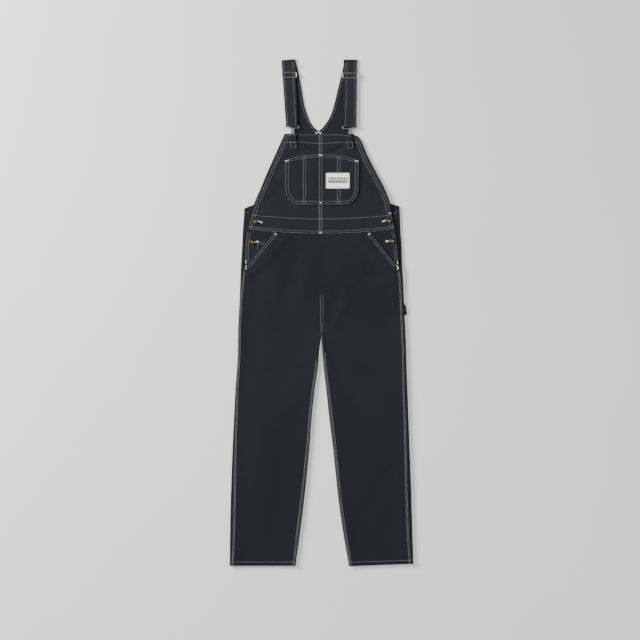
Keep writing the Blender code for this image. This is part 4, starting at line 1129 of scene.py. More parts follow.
    def back(self, side: Side) -> None:
        """Make a back panel.

        A row runs from the outseam over the rolled outer fold, along the surface, and
        below the crotch round the inner fold up to the inseam.

        Args:
            side: the leg.
        """
        y = self.rows(BACK_TOP_Y)[:, None]
        leg = LEGS[side]
        outer, height = leg.outer.at(y), SIDE_FOLD.at(y)
        radius, fold_start = height / 2, outer - height / 2
        middle_radius = radius - CLOTH / 2
        seam = outer - leg.outseam.at(y) + SEAM_GAP / 2
        step = np.minimum(seam + FELL_WIDTH, fold_start - FELL_STEP)
        foot = step + FELL_STEP * 0.5
        strip, rest = np.array([[0.0, 0.3, 0.6, 0.85, 1.0]]), np.array([[0.0, 0.5]])
        turns = np.radians(np.linspace(90.0, -90.0, 13))[None, :]
        inner, inner_radius = self.inner_outline(side, y), INNER_FOLD / 2
        inner_middle = inner_radius - CLOTH / 2
        wrapped_near = inner + inner_radius
        end = inner + np.maximum(leg.inseam.at(y), LEAST_INSET) - SEAM_GAP / 2
        flat = shares(44)[:, 1:-1]
        turned = self.turned(y)
        near = wrapped_near * turned + self.crotch_spread * (1.0 - turned)
        folded_x = abreast(wrapped_near - inner_middle * np.cos(turns), end - FELL_WIDTH * strip[:, ::-1])
        top = np.full(strip.shape, INNER_FOLD - CLOTH / 2)
        folded_z = abreast(inner_radius - inner_middle * np.sin(turns), top)
        open_shares = shares(folded_x.shape[1])
        open_x = self.crotch_spread + (SEAM_GAP / 2 - self.crotch_spread) * open_shares
        distance = abreast(
            seam + (step - seam) * strip, foot + (fold_start - foot) * rest,
            fold_start + middle_radius * np.cos(turns), fold_start + (near - fold_start) * flat,
            folded_x * turned + open_x * (1.0 - turned)
        )
        level = abreast(
            np.repeat(height - CLOTH / 2, strip.size + rest.size, axis=1),
            radius + middle_radius * np.sin(turns), np.full(flat.shape, BACK_LEVEL),
            folded_z * turned + BACK_LEVEL * (1.0 - turned)
        )
        heights = wing_height(side, distance, hem_height(side, distance, y))
        page_x = distance * side.sign
        quiet = ramp(outer - distance, 14.0, 40.0) * ramp(distance - inner, 14.0, 40.0)
        lift = creased(self.back_creases, page_x, heights) * quiet
        columns, flat_start = distance.shape[1], strip.size + rest.size + turns.size
        index = np.arange(columns)[None, :]
        level = level + lift * ((index >= flat_start) & (index < flat_start + flat.size))
        felled = self.felled_out(y)
        ripple = 0.13 * pucker(heights, 0.6 if side is Side.LEFT else 2.1)
        outer_strip = np.where(index < 4, 1.0, 0.0) + np.where(index == 4, 0.75, 0.0)
        inner_strip = np.where(index > columns - 5, 1.0, 0.0)
        inner_strip = inner_strip + np.where(index == columns - 5, 0.75, 0.0)
        raised = outer_strip * felled * (FELL_RAISE + ripple)
        raised = raised + inner_strip * self.felled_in(y) * (FELL_RAISE + ripple)
        hem, hem_wear = self.hem_relief(distance, y)
        wear = self.seam_wear * felled * np.where(index < 6, 0.8 + 1.5 * ripple, 0.0)
        wear = wear + self.seam_wear * self.worn_in(y) * np.where(index > columns - 7, 0.8, 0.0)
        middle, name = grid(page_x, heights, level), "back_trouser_" + side.value
        shade = -0.01 * side.sign
        self.room.cloth(Panel(name, middle, side.sign, raised + hem * 0.8, wear + hem_wear, shade=shade))

    def outer_edge(self, side: Side, y: Array) -> Array:
        """Outer edge of the front: the slanted mouth, a short straight step, the outseam."""
        leg = LEGS[side]
        share = np.clip((MOUTH_END_Y - y) / (MOUTH_END_Y - OUTSEAM_TOP_Y), 0.0, 1.0)
        below = np.minimum(y, OUTSEAM_TOP_Y)
        outseam = leg.outer.at(below) - leg.outseam.at(below) - SEAM_GAP / 2
        return SLASHES[side].at(np.maximum(y, MOUTH_END_Y)) * (1.0 - share) + outseam * share

    def inner_edge(self, side: Side, y: Array) -> Array:
        """Inner edge of the front: the centre seam, a notch at the crotch, the inseam."""
        inset = np.maximum(LEGS[side].inseam.at(y), LEAST_INSET)
        seam = self.inner_outline(side, y) + inset + SEAM_GAP / 2
        notch = np.clip((-35.0 - y) / 25.0, 0.0, 1.0)
        centre = SEAM_GAP / 2 + (self.crotch_notch - SEAM_GAP / 2) * notch
        parted = np.clip((CROTCH_Y - CROTCH_TURN + 1.0 - y) / 6.0, 0.0, 1.0)
        return seam * parted + centre * (1.0 - parted)

    def level(self, side: Side, distance: Array, y: Array, out: Array, inward: Array) -> Array:
        """Middle of the front's cloth.

        It is level with the folds at its edges and sinks to the body between them,
        where the creases are added.

        Args:
            side: the leg.
            distance: distances from the centre line.
            y: heights on the page.
            out: distances from the outer edge.
            inward: distances from the inner edge.

        Returns:
            Levels above the surface.
        """
        body = LEG_LEVEL + (WAIST_LEVEL - LEG_LEVEL) * ramp(y, 200.0, 250.0)
        over_facing = ramp(y, 112.0, 138.0)
        fold_level = SIDE_FOLD.at(np.minimum(y, OUTSEAM_TOP_Y)) - CLOTH / 2
        edge_level = np.where(y > OUTSEAM_TOP_Y, SLASH_LEVEL, fold_level)
        edge_level = edge_level + (SLASH_LEVEL - edge_level) * ramp(y, 120.0, OUTSEAM_TOP_Y)
        flat = 5.0 + 36.0 * over_facing
        level = edge_level + (body - edge_level) * smooth_step((out - flat) / 34.0)
        turned = self.turned(y)
        inner_fade = 1.0 - turned * (1.0 - smooth_step((inward - 5.0) / 34.0))
        inner_level = INNER_FOLD - CLOTH / 2
        level = inner_level + (level - inner_level) * inner_fade
        quiet = smooth_step((out - flat) / 30.0) * smooth_step((244.0 - y) / 40.0)
        near_inner = 1.0 - turned * (1.0 - smooth_step((inward - 6.0) / 26.0))
        x = distance * side.sign
        broad = creased(self.front_creases, x, y) * quiet * near_inner
        fine_quiet = ramp(out, 6.0, 20.0) * ramp(244.0 - y, 4.0, 20.0) * ramp(inward, 4.0, 16.0)
        lap = bell(y - CROTCH_Y + CROTCH_TURN, 6.0) * (1.0 - ramp(distance, 5.0, 16.0))
        fine = creased(self.fine_creases, x, y) * fine_quiet
        return level + broad + fine + self.crotch_lap * lap

    def front(self, side: Side) -> None:
        """Make a front panel, from the waist seam to the hem.

        Args:
            side: the leg.
        """
        y = self.rows(SLASH_TOP_Y)[:, None]
        outer, inner = self.outer_edge(side, y), self.inner_edge(side, y)
        strip = np.array([[0.0, 0.8, 1.6, 2.3, 2.9, 3.3, 3.8]])
        first, last = outer - strip[:, -1:], inner + strip[:, -1:]
        between = first + (last - first) * shares(58)[:, 1:-1]
        distance = abreast(outer - strip, between, inner + strip[:, ::-1])
        rise, rise_start = waist_edge(distance) - SEAM_GAP - SLASH_TOP_Y, 214.0
        share = np.clip((y - rise_start) / (SLASH_TOP_Y - rise_start), 0.0, 1.0)
        height = hem_height(side, distance, y + rise * share**2)
        out, inward = outer - distance, distance - inner
        level = self.level(side, distance, y, out, inward)
        phase = 1.3 if side is Side.RIGHT else 3.4
        ripple = pucker(height, phase)
        felled_out = self.felled_out(y) * (1.0 - ramp(out, 2.6, 3.4))
        felled_in = self.felled_in(y) * (1.0 - ramp(inward, 2.6, 3.4))
        mouth = ramp(y, 136.0, 148.0) * (1.0 - ramp(out, 14.0, 15.5))
        raised = (felled_out + felled_in) * (FELL_RAISE + 0.13 * ripple)
        raised = raised + mouth * (0.30 + 0.10 * ripple)
        beside = bell(np.minimum(out, inward + 80.0 * (y > CROTCH_Y)) - 6.0, 5.0)
        raised = raised + 0.14 * beside * pucker(height, phase + 1.0) * (1.0 - mouth)
        hem, hem_wear = self.hem_relief(distance, y)
        wear = self.seam_wear * (felled_out + felled_in * self.worn_in(y)) * (0.8 + 0.25 * ripple)
        wear = wear + 0.22 * bell(out - 6.0, 4.0) * mouth + hem_wear
        wear = wear + 0.04 * beside * (1.0 + ripple)
        middle, name = grid(distance * side.sign, height, level), "front_trouser_" + side.value
        panel = Panel(name, middle, -side.sign, raised + hem, wear, shade=0.012 * side.sign)
        self.room.cloth(panel, rests_on=["back_trouser_" + side.value])

    def build(self) -> None:
        """Make the four panels."""
        for side in Side:
            self.back(side)
            self.front(side)


# Side openings

FRONT_EDGES = {
    Side.RIGHT: Course.of(
        (554, 114.6), (532, 125.0), (495, 141.8), (440, 166.8), (385, 189.6), (338, 208.8), (321, 213.9),
        (281, 222.7), (253, 230.5), (227, 234.8), (184, 237.6), (146, 237.6)
    ),
    Side.LEFT: Course.of(
        (546, 113.0), (532, 123.2), (495, 139.4), (440, 167.4), (385, 195.6), (338, 213.2), (321, 215.5),
        (281, 221.5), (253, 227.5), (227, 232.0), (184, 237.0), (146, 238.6)
    )
}


@dataclass
class SideOpenings:
    """Facings, button underlaps and the coin pocket beside the waist.

    Attributes:
        facing_end: lowest point of the facings.
        underlap: how far a facing reaches in under the slanted mouth.
        placket_end: lowest point of the button underlaps.
        placket_inner: inner edge of the button underlaps.
        coin_outer: outer edge of the coin pocket.
        coin_top: upper edge of the coin pocket.
        coin_margin: its distance from the slanted mouth.
    """

    room: Workroom
    facing_end: float = MOUTH_END_Y
    underlap: float = 24.0
    placket_end: float = 156.0
    placket_inner: float = 200.0
    coin_outer: float = 200.7
    coin_top: float = 220.5
    coin_margin: float = 1.6

    def facing(self, side: Side) -> None:
        """Make the facing between the finished side edge and the slanted mouth."""
        down = shares(36).T
        over = abreast(np.array([[0.0, 0.012, 0.03, 0.06]]), np.linspace(0.1, 1.0, 26)[None, :])
        nominal = SLASH_TOP_Y + (self.facing_end - SLASH_TOP_Y) * down
        outer = FRONT_EDGES[side].at(nominal)
        inner = SLASHES[side].at(nominal) - self.underlap
        distance = outer + (inner - outer) * over
        rise = waist_edge(distance) - SEAM_GAP - SLASH_TOP_Y
        height = nominal + rise * (1.0 - down)
        inset = outer - distance
        hem = 1.0 - ramp(inset, SIDE_HEM, SIDE_HEM + 1.5)
        ripple = pucker(height, 0.9)
        sag = Crease((208 * side.sign, 232), (226 * side.sign, 170), 9.0, 0.22, 2.0)
        x = distance * side.sign
        raised = hem * (0.28 + 0.10 * ripple) + np.maximum(sag.relief(x, height), 0.0)
        wear = 0.28 * bell(inset - 7.0, 4.0) * (0.9 + 0.2 * ripple)
        middle = grid(x, height, WAIST_LEVEL)
        panel = Panel("hip_facing_" + side.value, middle, -side.sign, raised, wear)
        self.room.cloth(panel, rests_on=["side_placket_" + side.value])

    def placket(self, side: Side) -> None:
        """Make the button underlap from the side fold in under the front."""
        nominal = BACK_TOP_Y + (self.placket_end - BACK_TOP_Y) * shares(52).T
        seam = LEGS[side].outer.at(nominal) - LEGS[side].outseam.at(nominal)
        outer = seam - SEAM_GAP / 2
        distance = outer + (self.placket_inner - outer) * shares(18)
        height = wing_height(side, distance, nominal)
        ripple = pucker(height, 2.7)
        seam_edge = bell(outer - distance, 3.0)
        raised = seam_edge * (0.16 + 0.10 * ripple) + 0.05 * ripple
        wear = seam_edge * (0.12 + 0.1 * ripple)
        middle = grid(distance * side.sign, height, PLACKET_LEVEL)
        panel = Panel("side_placket_" + side.value, middle, -side.sign, raised, wear, shade=-0.02)
        self.room.cloth(panel, rests_on=["back_trouser_" + side.value])

    def coin_pocket(self) -> None:
        """Make the small patch pocket on the right facing, cut off by the slanted mouth."""
        slash = SLASHES[Side.RIGHT]
        slope = (SLASH_TOP_Y - SLASH_LOW_Y) / (slash.low_x - slash.top_x)
        low_y = SLASH_TOP_Y - (self.coin_outer - slash.top_x) * slope + 2.0
        height = self.coin_top + (low_y - self.coin_top) * shares(16).T
        inner = slash.at(height) + self.coin_margin
        distance = self.coin_outer + (inner - self.coin_outer) * shares(18)
        hem = 1.0 - ramp(self.coin_top - height, 8.0, 9.5)
        ripple = pucker(distance, 0.4)
        wear = 0.12 * hem + 0.10 * bell(self.coin_outer - distance, 1.5)
        middle = grid(-distance, height, SLASH_LEVEL)
        panel = Panel("coin_pocket", middle, 1.0, hem * (0.22 + 0.06 * ripple), wear)
        self.room.cloth(panel, rests_on=["hip_facing_right"])

    def build(self) -> None:
        """Make both sides and the coin pocket."""
        for side in Side:
            self.placket(side)
            self.facing(side)
        self.coin_pocket()


# Bib

# How far inside the bib's side edge the outer row of its hem is sewn
BIB_ROW = Course.of((240, 3.6), (278, 2.6), (309, 6.3), (335, 8.0), (446, 11.6), (548, 7.6))
BIB_TWIN = 8.2


def bib_level(y: Array) -> Array:
    """Middle of the bib's cloth: low over the yoke, higher over the side openings."""
    return SECOND_LEVEL + (WAIST_LEVEL - SECOND_LEVEL) * ramp(-y, -500.0, -335.0)


@dataclass
class Bib:
    """The bib with its side hems, facing, centre fell, waist band, tabs, pocket and label.

    Attributes:
        top: upper edge at the middle.
        seam_x: place of the centre seam.
        fell_half: half the width of the centre fell.
        facing_depth: depth of the facing behind the upper edge.
        corner_half: distance of each upper corner from the centre line.
        corner_drop: how far each upper corner lies below the middle.
        creases: soft diagonal creases above the pocket and over the belly.
        tab_x: distance of each tab's middle from the centre line.
        tab_width: width of a tab.
        tab_cloth: thickness of its cloth.
        tab_ends: heights of its upper and lower end.
    """

    room: Workroom
    top: float = 555.5
    seam_x: float = -3.0
    fell_half: float = 5.5
    facing_depth: float = 29.5
    corner_half: float = 112.0
    corner_drop: dict[Side, float] = field(default_factory=lambda: {Side.RIGHT: 1.5, Side.LEFT: 9.5})
    creases: tuple[Crease, ...] = crease_table(
        (-56, 519, -14, 500, 3.6, -1.1, 1.5), (64, 518, 14, 494, 3.8, -1.2, -2.0),
        (-44, 510, -10, 497, 6.0, 0.35, 1.0), (78, 508, 26, 488, 7.0, 0.42, -2.0),
        (-96, 470, -134, 420, 9.0, 0.30, 3.0), (-120, 400, -176, 352, 11.0, -0.28, -4.0),
        (128, 430, 160, 380, 10.0, -0.30, 3.0), (118, 380, 184, 340, 12.0, 0.30, 5.0),
        (-60, 330, -130, 318, 9.0, 0.22, 3.0), (20, 328, 96, 316, 10.0, -0.22, -3.0),
        (-150, 330, -196, 306, 8.0, 0.25, 2.0)
    )
    tab_x: dict[Side, float] = field(default_factory=lambda: {Side.RIGHT: 87.4, Side.LEFT: 88.0})
    tab_width: float = 22.5
    tab_cloth: float = 1.0
    tab_ends: Point = (553.0, 508.0)

    def top_edge(self, side: Side, distance: Array) -> Array:
        """Upper edge: it drops with the fourth power of the distance."""
        share = np.minimum(np.abs(distance) / self.corner_half, 1.0)
        return self.top - self.corner_drop[side] * share**4

    def half(self, side: Side) -> None:
        """Make half of the bib, down to the waist seam.

        Args:
            side: the half.
        """
        sign = side.sign
        seam = self.seam_x * sign + SEAM_GAP / 2
        fell = self.seam_x * sign + self.fell_half
        corner_y = self.top - self.corner_drop[side]
        band_y, waist_y = band_edge(219.0) + FELL_STEP, waist_edge(228.0)
        above = np.concatenate([[0.0, 0.006, 0.014], even(0.025, 1.0, 0.0135)])
        band = np.concatenate([[0.012, 0.03], even(0.06, 1.0, 0.08)])
        edge_y = np.concatenate(
            [corner_y + (band_y - corner_y) * above, band_y + (waist_y - band_y) * band]
        )
        outer = FRONT_EDGES[side].at(edge_y)[:, None]
        hem = np.array([[0.0, 0.8, 1.8, 4.0, 6.6, 9.2, 11.8, 14.4, 17.0, 19.4, 21.2, 22.4]])
        strip = np.array([[1.4, 0.6, 0.0, -1.2, -2.6, -4.0]])
        first, last = outer - hem[:, -1:], fell + strip[:, :1]
        between = first + (last - first) * shares(46)[:, 1:-1]
        distance = abreast(outer - hem, between, fell + strip, np.array([[seam]]))
        top = self.top_edge(side, distance)
        band_top, low = band_edge(distance) + FELL_STEP, waist_edge(distance)
        share = np.concatenate([above, band])[:, None]
        over_band = np.arange(len(share))[:, None] < len(above)
        upper, lower = top + (band_top - top) * share, band_top + (low - band_top) * share
        height = np.where(over_band, upper, lower)
        x = distance * sign
        quiet = ramp(outer - distance, 12.0, 26.0) * ramp(height - band_edge(distance), 2.0, 12.0)
        folds = creased(self.creases, x, height) * quiet
        level = bib_level(height) + folds
        inset, from_top = outer - distance, top - height
        ripple = pucker(height + 0.4 * x, 1.1 + sign)
        row = BIB_ROW.at(height)
        side_hem = 1.0 - ramp(inset - row - BIB_TWIN, 1.4, 2.8)
        centre = 1.0 - ramp(distance - fell, -0.2, 1.0)
        on_band = 1.0 - ramp(height - band_edge(distance), -0.6, 0.8)
        on_facing = 1.0 - ramp(from_top, self.facing_depth, self.facing_depth + 2.0)
        cover = np.maximum(np.maximum(side_hem, centre), on_band)
        raised = np.maximum(cover, 0.45 * on_facing) * (HEM_RAISE + 0.03 * ripple)
        raised = raised + 0.05 * bell(inset - row - 14.0, 5.0) * pucker(height, 2.2)
        raised = raised + 0.08 * bell(distance - fell - 5.0, 4.0) * pucker(height, 0.2)
        wear = 0.22 * bell(inset - row - BIB_TWIN / 2, 3.8) + 0.52 * centre * (0.9 + 0.2 * ripple)
        wear = wear + 0.10 * bell(from_top - 4.4, 2.2) + 0.16 * bell(height - band_edge(distance), 2.4)
        wear = wear + 0.10 * bell(from_top - self.facing_depth, 2.0)
        wear = wear + 0.26 * bell(height - waist_edge(distance) - 5.0, 3.4)
        middle, wear = grid(x, height, level), wear * (0.92 + 0.12 * ripple)
        # Painted light over the whole bib, a slightly different roll tone on each half, and painted shade
        # in crease troughs with painted light on their ridges
        shade = 0.08 + 0.015 * sign + 0.3 * folds
        panel = Panel("bib_" + side.value, middle, -sign, raised, wear, shade=shade)
        self.room.cloth(panel, rests_on=["back_yoke", "hip_facing_" + side.value])

    def tab(self, side: Side) -> None:
        """Make the cloth tab that covers the hook's tang, drooping to the bib around it."""
        over = np.linspace(-1.0, 1.0, 28)[None, :] * self.tab_width / 2
        height = even(*self.tab_ends, 1.6)[:, None]
        rest = SECOND_LEVEL + CLOTH / 2 + HEM_RAISE + SEAM_GAP + self.tab_cloth / 2
        beside = 1.0 - ramp(np.abs(over), 7.4, 11.0)
        level = rest + (TANG_THICKNESS + SEAM_GAP) * beside * ramp(height, 521.0, 528.0)
        raised = 0.12 + 0.06 * pucker(height + over, 0.5)
        wear = 0.10 * bell(np.abs(over) - self.tab_width / 2, 1.4)
        wear = wear + 0.12 * bell(height - self.tab_ends[0], 1.8)
        middle = grid(over + self.tab_x[side] * side.sign, height, level)
        panel = Panel("bib_tab_" + side.value, middle, 1.0, raised, wear, self.tab_cloth)
        self.room.cloth(panel, rests_on=["bib_" + side.value, "strap_hook_" + side.value])

    def build(self) -> None:
        """Make both halves and both tabs."""
        for side in Side:
            self.half(side)
            self.tab(side)


@dataclass
class BibPocket:
    """The large pocket on the bib and the label on it.

    Attributes:
        half: half its width.
        centre_x: place of its middle.
        bottom: its lower edge.
        corner: width of its rounded lower corners.
        corner_rise: height of its rounded lower corners.
        top: its upper edge at the middle.
        top_drop: how far the mouth falls to its corners.
        top_power: power of the distance with which it falls.
        clearance: its level above the bib.
        channels: places of the sewn channels along X.
        label_centre: middle of the label.
        label_size: width and height of the label.
        label_corner: radius of its corners.
        label_cloth: thickness of its cloth.
        creases: its creases.
    """

    room: Workroom
    half: float = 114.5
    centre_x: float = 0.8
    bottom: float = 334.0
    corner: float = 43.0
    corner_rise: float = 57.0
    top: float = 492.0
    top_drop: float = 20.0
    top_power: float = 2.2
    clearance: float = 2.0
    channels: tuple[float, ...] = (-53.0, -3.2, 53.3)
    label_centre: Point = (50.3, 408.6)
    label_size: Point = (72.5, 47.4)
    label_corner: float = 3.0
    label_cloth: float = 0.8
    creases: tuple[Crease, ...] = crease_table(
        (-104, 456, -66, 430, 8.0, 0.24, 2.0), (-96, 380, -58, 352, 9.0, -0.20, 3.0),
        (-42, 470, -16, 388, 8.0, 0.26, -3.0), (-30, 360, -10, 344, 6.0, 0.20, 1.0),
        (12, 474, 30, 440, 6.0, -0.22, 2.0), (66, 466, 104, 446, 8.0, 0.26, -2.0),
        (72, 372, 106, 392, 8.0, 0.22, 2.0)
    )

    def mouth(self, across: Array) -> Array:
        """Height of the mouth at a distance from the pocket's middle."""
        share = np.abs(across) / self.half
        return self.top - self.top_drop * share**self.top_power

    def foot(self, across: Array) -> Array:
        """Height of the lower edge: level between the corners, then a quarter ellipse."""
        beyond = np.maximum(np.abs(across) - (self.half - self.corner), 0.0) / self.corner
        return self.bottom + self.corner_rise * (1.0 - np.sqrt(np.maximum(1.0 - beyond**2, 0.0)))

    def rim(self, inset: float, corner_points: int = 14) -> Array:
        """Line inside the sides and the foot, from the upper right to the upper left corner.

        Args:
            inset: distance inside the edge.
            corner_points: points on each quarter ellipse.

        Returns:
            Points of the line.
        """
        turns = np.linspace(0.0, math.pi / 2, corner_points)
        flat = self.half - self.corner
        x = flat + (self.corner - inset) * np.cos(turns)
        y = self.bottom + self.corner_rise - (self.corner_rise - inset) * np.sin(turns)
        right = np.stack([-x, y], axis=1)
        left = np.stack([x, y], axis=1)[::-1]
        ends = np.array([[self.half - inset, float(self.mouth(self.half)) - 3.0]])
        line = np.concatenate([ends * [-1.0, 1.0], right, left, ends])
        return line + np.array([self.centre_x, 0.0])

    def pocket(self) -> None:
        """Make the pocket, with its mouth hem and a slight ripple along its channels."""
        flat = self.half - self.corner
        over = crowded(flat, self.corner, 22, 16)
        down = np.concatenate([[0.0, 0.008, 0.018], np.linspace(0.035, 1.0, 46)])[:, None]
        mouth, foot = self.mouth(over), self.foot(over)
        height = mouth + (foot - mouth) * down
        x, from_mouth = over + self.centre_x, mouth - height
        rim = np.minimum(self.half - np.abs(over), height - foot)
        quiet = ramp(rim, 8.0, 20.0) * ramp(from_mouth, 10.0, 22.0)
        level = bib_level(height) + self.clearance + creased(self.creases, x, height) * quiet
        hem = 1.0 - ramp(from_mouth, 11.0, 12.6)
        channels = sum(bell(x - place, 5.0) for place in self.channels)
        ripple = pucker(height, 0.7)
        raised = hem * (HEM_RAISE + 0.08 * pucker(x, 1.2))
        raised = raised + 0.10 * channels * ripple * (1.0 - hem)
        raised = raised + 0.24 * (1.0 - ramp(rim, 11.5, 13.0)) * (1.0 - hem) * (0.95 + 0.2 * ripple)
        wear = 0.20 * bell(from_mouth - 6.0, 3.4) + 0.22 * bell(rim - 6.5, 3.6) + 0.22 * channels
        # The pocket's shade of 0.06 is painted light
        panel = Panel("bib_pocket", grid(x, height, level), 1.0, raised, wear, shade=0.06)
        self.room.cloth(panel, rests_on=["bib_left", "bib_right"])

    def label(self) -> None:
        """Make the label patch with its slightly rounded corners."""
        half_x, half_y = self.label_size[0] / 2, self.label_size[1] / 2
        core = half_x - self.label_corner
        over = crowded(core, self.label_corner, 20, 7)
        beyond = np.maximum(np.abs(over) - core, 0.0)
        cut = self.label_corner - np.sqrt(np.maximum(self.label_corner**2 - beyond**2, 0.0))
        rise = np.linspace(1.0, -1.0, 30)[:, None]
        x, height = over + self.label_centre[0], self.label_centre[1] + (half_y - cut) * rise
        inset = np.minimum(half_x - np.abs(over), half_y * (1.0 - np.abs(rise)))
        gap = CLOTH / 2 + SEAM_GAP + self.label_cloth / 2
        level = bib_level(height) + self.clearance + gap
        raised = 0.20 * ramp(inset, 1.5, 7.0) + 0.06 * pucker(x + height, 0.8)
        panel = Panel("bib_label", grid(x, height, level), 1.0, raised, 0.0, self.label_cloth)
        self.room.cloth(panel, Hold.LAID, ["bib_pocket"], self.room.label, Slot.LABEL)

    def build(self) -> None:
        """Make the pocket and its label."""
        self.pocket()
        self.label()


# Back yoke and straps


@dataclass
class BackYoke:
    """Back yoke with the V neck and both shoulders, flat on the surface.

    Attributes:
        neck: neckline of each shoulder, as places along X.
        edge: outer edge on each side, as places along X.
        point: lowest point of the V.
        hem: width of the hem along the neckline.
    """

    room: Workroom
    neck: dict[Side, Course] = field(
        default_factory=lambda: {
            Side.RIGHT: Course.of(
                (779, -80.0),
                (739, -70.5),
                (683, -60.6),
                (645, -54.1),
                (608, -42.6),
                (590, -35.0),
                (571, -21.0),
                (562.5, -9.5),
            ),
            Side.LEFT: Course.of(
                (779, 71.0),
                (739, 62.0),
                (683, 48.2),
                (645, 39.2),
                (608, 26.5),
                (590, 15.7),
                (571, 1.0),
                (562.5, -9.5),
            ),
        }
    )
    edge: dict[Side, Course] = field(
        default_factory=lambda: {
            Side.RIGHT: Course.of(
                (779, -119.5),
                (690, -113.3),
                (612, -104.0),
                (566, -93.2),
                (504, -104.0),
                (411, -141.0),
                (341.3, -184.6),
            ),
            Side.LEFT: Course.of(
                (779, 105.2),
                (690, 102.1),
                (612, 99.0),
                (566, 92.8),
                (504, 103.7),
                (411, 140.9),
                (341.3, 184.3),
            ),
        }
    )
    point: Point = (-9.5, 562.5)
    hem: float = 9.0

    def neckline(self, side: Side, inset: float) -> Array:
        """Line inside the neckline, from the V up to the shoulder.

        Each point of the neckline is moved by inset square to its own direction.

        Args:
            side: the shoulder.
            inset: distance inside the edge.

        Returns:
            Points of the line.
        """
        y = np.linspace(self.point[1] + 1.5, 776.0, 90)
        x = self.neck[side].at(y)
        slope = np.gradient(x, y)
        turn = side.sign * inset / np.sqrt(1.0 + slope**2)
        return np.stack([x + turn, y - slope * turn], axis=1)

    def build(self) -> None:
        """Make the yoke: two grids that share the points of the centre line below the V."""
        low = np.linspace(YOKE_LOW_Y, self.point[1], 60)
        high = np.linspace(self.point[1], YOKE_TOP_Y, 62)[1:]
        y = np.concatenate([low, high])[:, None]
        over = abreast(np.array([[0.0, 0.02, 0.05, 0.09]]), np.linspace(0.14, 1.0, 24)[None, :])
        tops, flats, wears = [], [], []
        for side in Side:
            start = np.where(y <= self.point[1], self.point[0], self.neck[side].at(y))
            distance = start + (self.edge[side].at(y) - start) * over
            from_neck = np.where(y > self.point[1], np.abs(distance - start), 99.0)
            from_edge = np.abs(self.edge[side].at(y) - distance)
            inset = np.minimum(from_neck, from_edge)
            ripple = pucker(y + 0.3 * distance, 0.4 + side.sign)
            relief = 0.30 * ramp(inset, 0.0, 1.2) * (1.0 - ramp(inset, self.hem, self.hem + 1.5))
            relief = relief * (1.0 + 0.3 * ripple) + 0.10 * ripple * bell(inset - 12.0, 5.0)
            tops.append(grid(distance, y, CLOTH + relief))
            wears.append(0.10 * bell(inset - 3.0, 2.2) * (0.9 + 0.3 * ripple))
            flats.append(grid(distance, y, 0.0))
            self.room.heights.lay(tops[-1])
        rows, columns = tops[0].shape[:2]
        count = rows * columns
        right = grid_quads(rows, columns, False)
        left = grid_quads(rows, columns, True) + count
        shared = np.arange(2 * count)
        shared[count + np.arange(len(low)) * columns] = np.arange(len(low)) * columns
        quads = shared[np.concatenate([right, left])]
        used, quads = np.unique(quads, return_inverse=True)
        quads = quads.reshape(-1, 4)
        top, flat = (np.concatenate(both).reshape(-1, 3)[used] for both in (tops, flats))
        wear = np.concatenate(wears).ravel()[used]
        under = top * np.array([1.0, 1.0, 0.0])
        points, faces = close_shell(top, under, quads)
        flat, wear = np.tile(flat, (2, 1)), np.tile(wear, 2)
        piece = write_mesh("cloth_back_yoke", points, faces, self.room.twill, flat, wear)
        self.room.keep(piece, Slot.CANVAS, "back_yoke")


@dataclass(frozen=True)
class StrapSizes:
    """Sizes of one shoulder strap, as distances from the centre line and heights.

    Attributes:
        outer: its outer edge at the shoulder fold and at the hook.
        inner: its inner edge at the shoulder fold and at the hook.
        top_outer: height of the fold at its outer edge.
        top_inner: height of the fold at its inner edge.
        end: height of the lower end of the strap.
        slider: height of the slider.
        hook_outer: outer end of the hook's frame.
        hook_inner: inner end of the hook's frame.
        tang_x: distance of the hook's tang from the centre line.
    """

    outer: Point
    inner: Point
    top_outer: float
    top_inner: float
    end: float
    slider: float
    hook_outer: float
    hook_inner: float
    tang_x: float


STRAPS = {
    Side.RIGHT: StrapSizes((124.2, 109.9), (81.8, 74.6), 782.5, 786.0, 575.5, 737.0, 113.3, 69.0, 89.1),
    Side.LEFT: StrapSizes((110.2, 108.2), (68.0, 69.0), 784.5, 784.5, 573.5, 734.5, 111.0, 64.0, 89.3)
}


def strap_edge(edge: Point, y: Array) -> Array:
    """Distance of a strap's edge from the centre line, straight from fold to hook."""
    return edge[0] + (edge[1] - edge[0]) * (STRAP_TOP_Y - y) / (STRAP_TOP_Y - STRAP_LOW_Y)


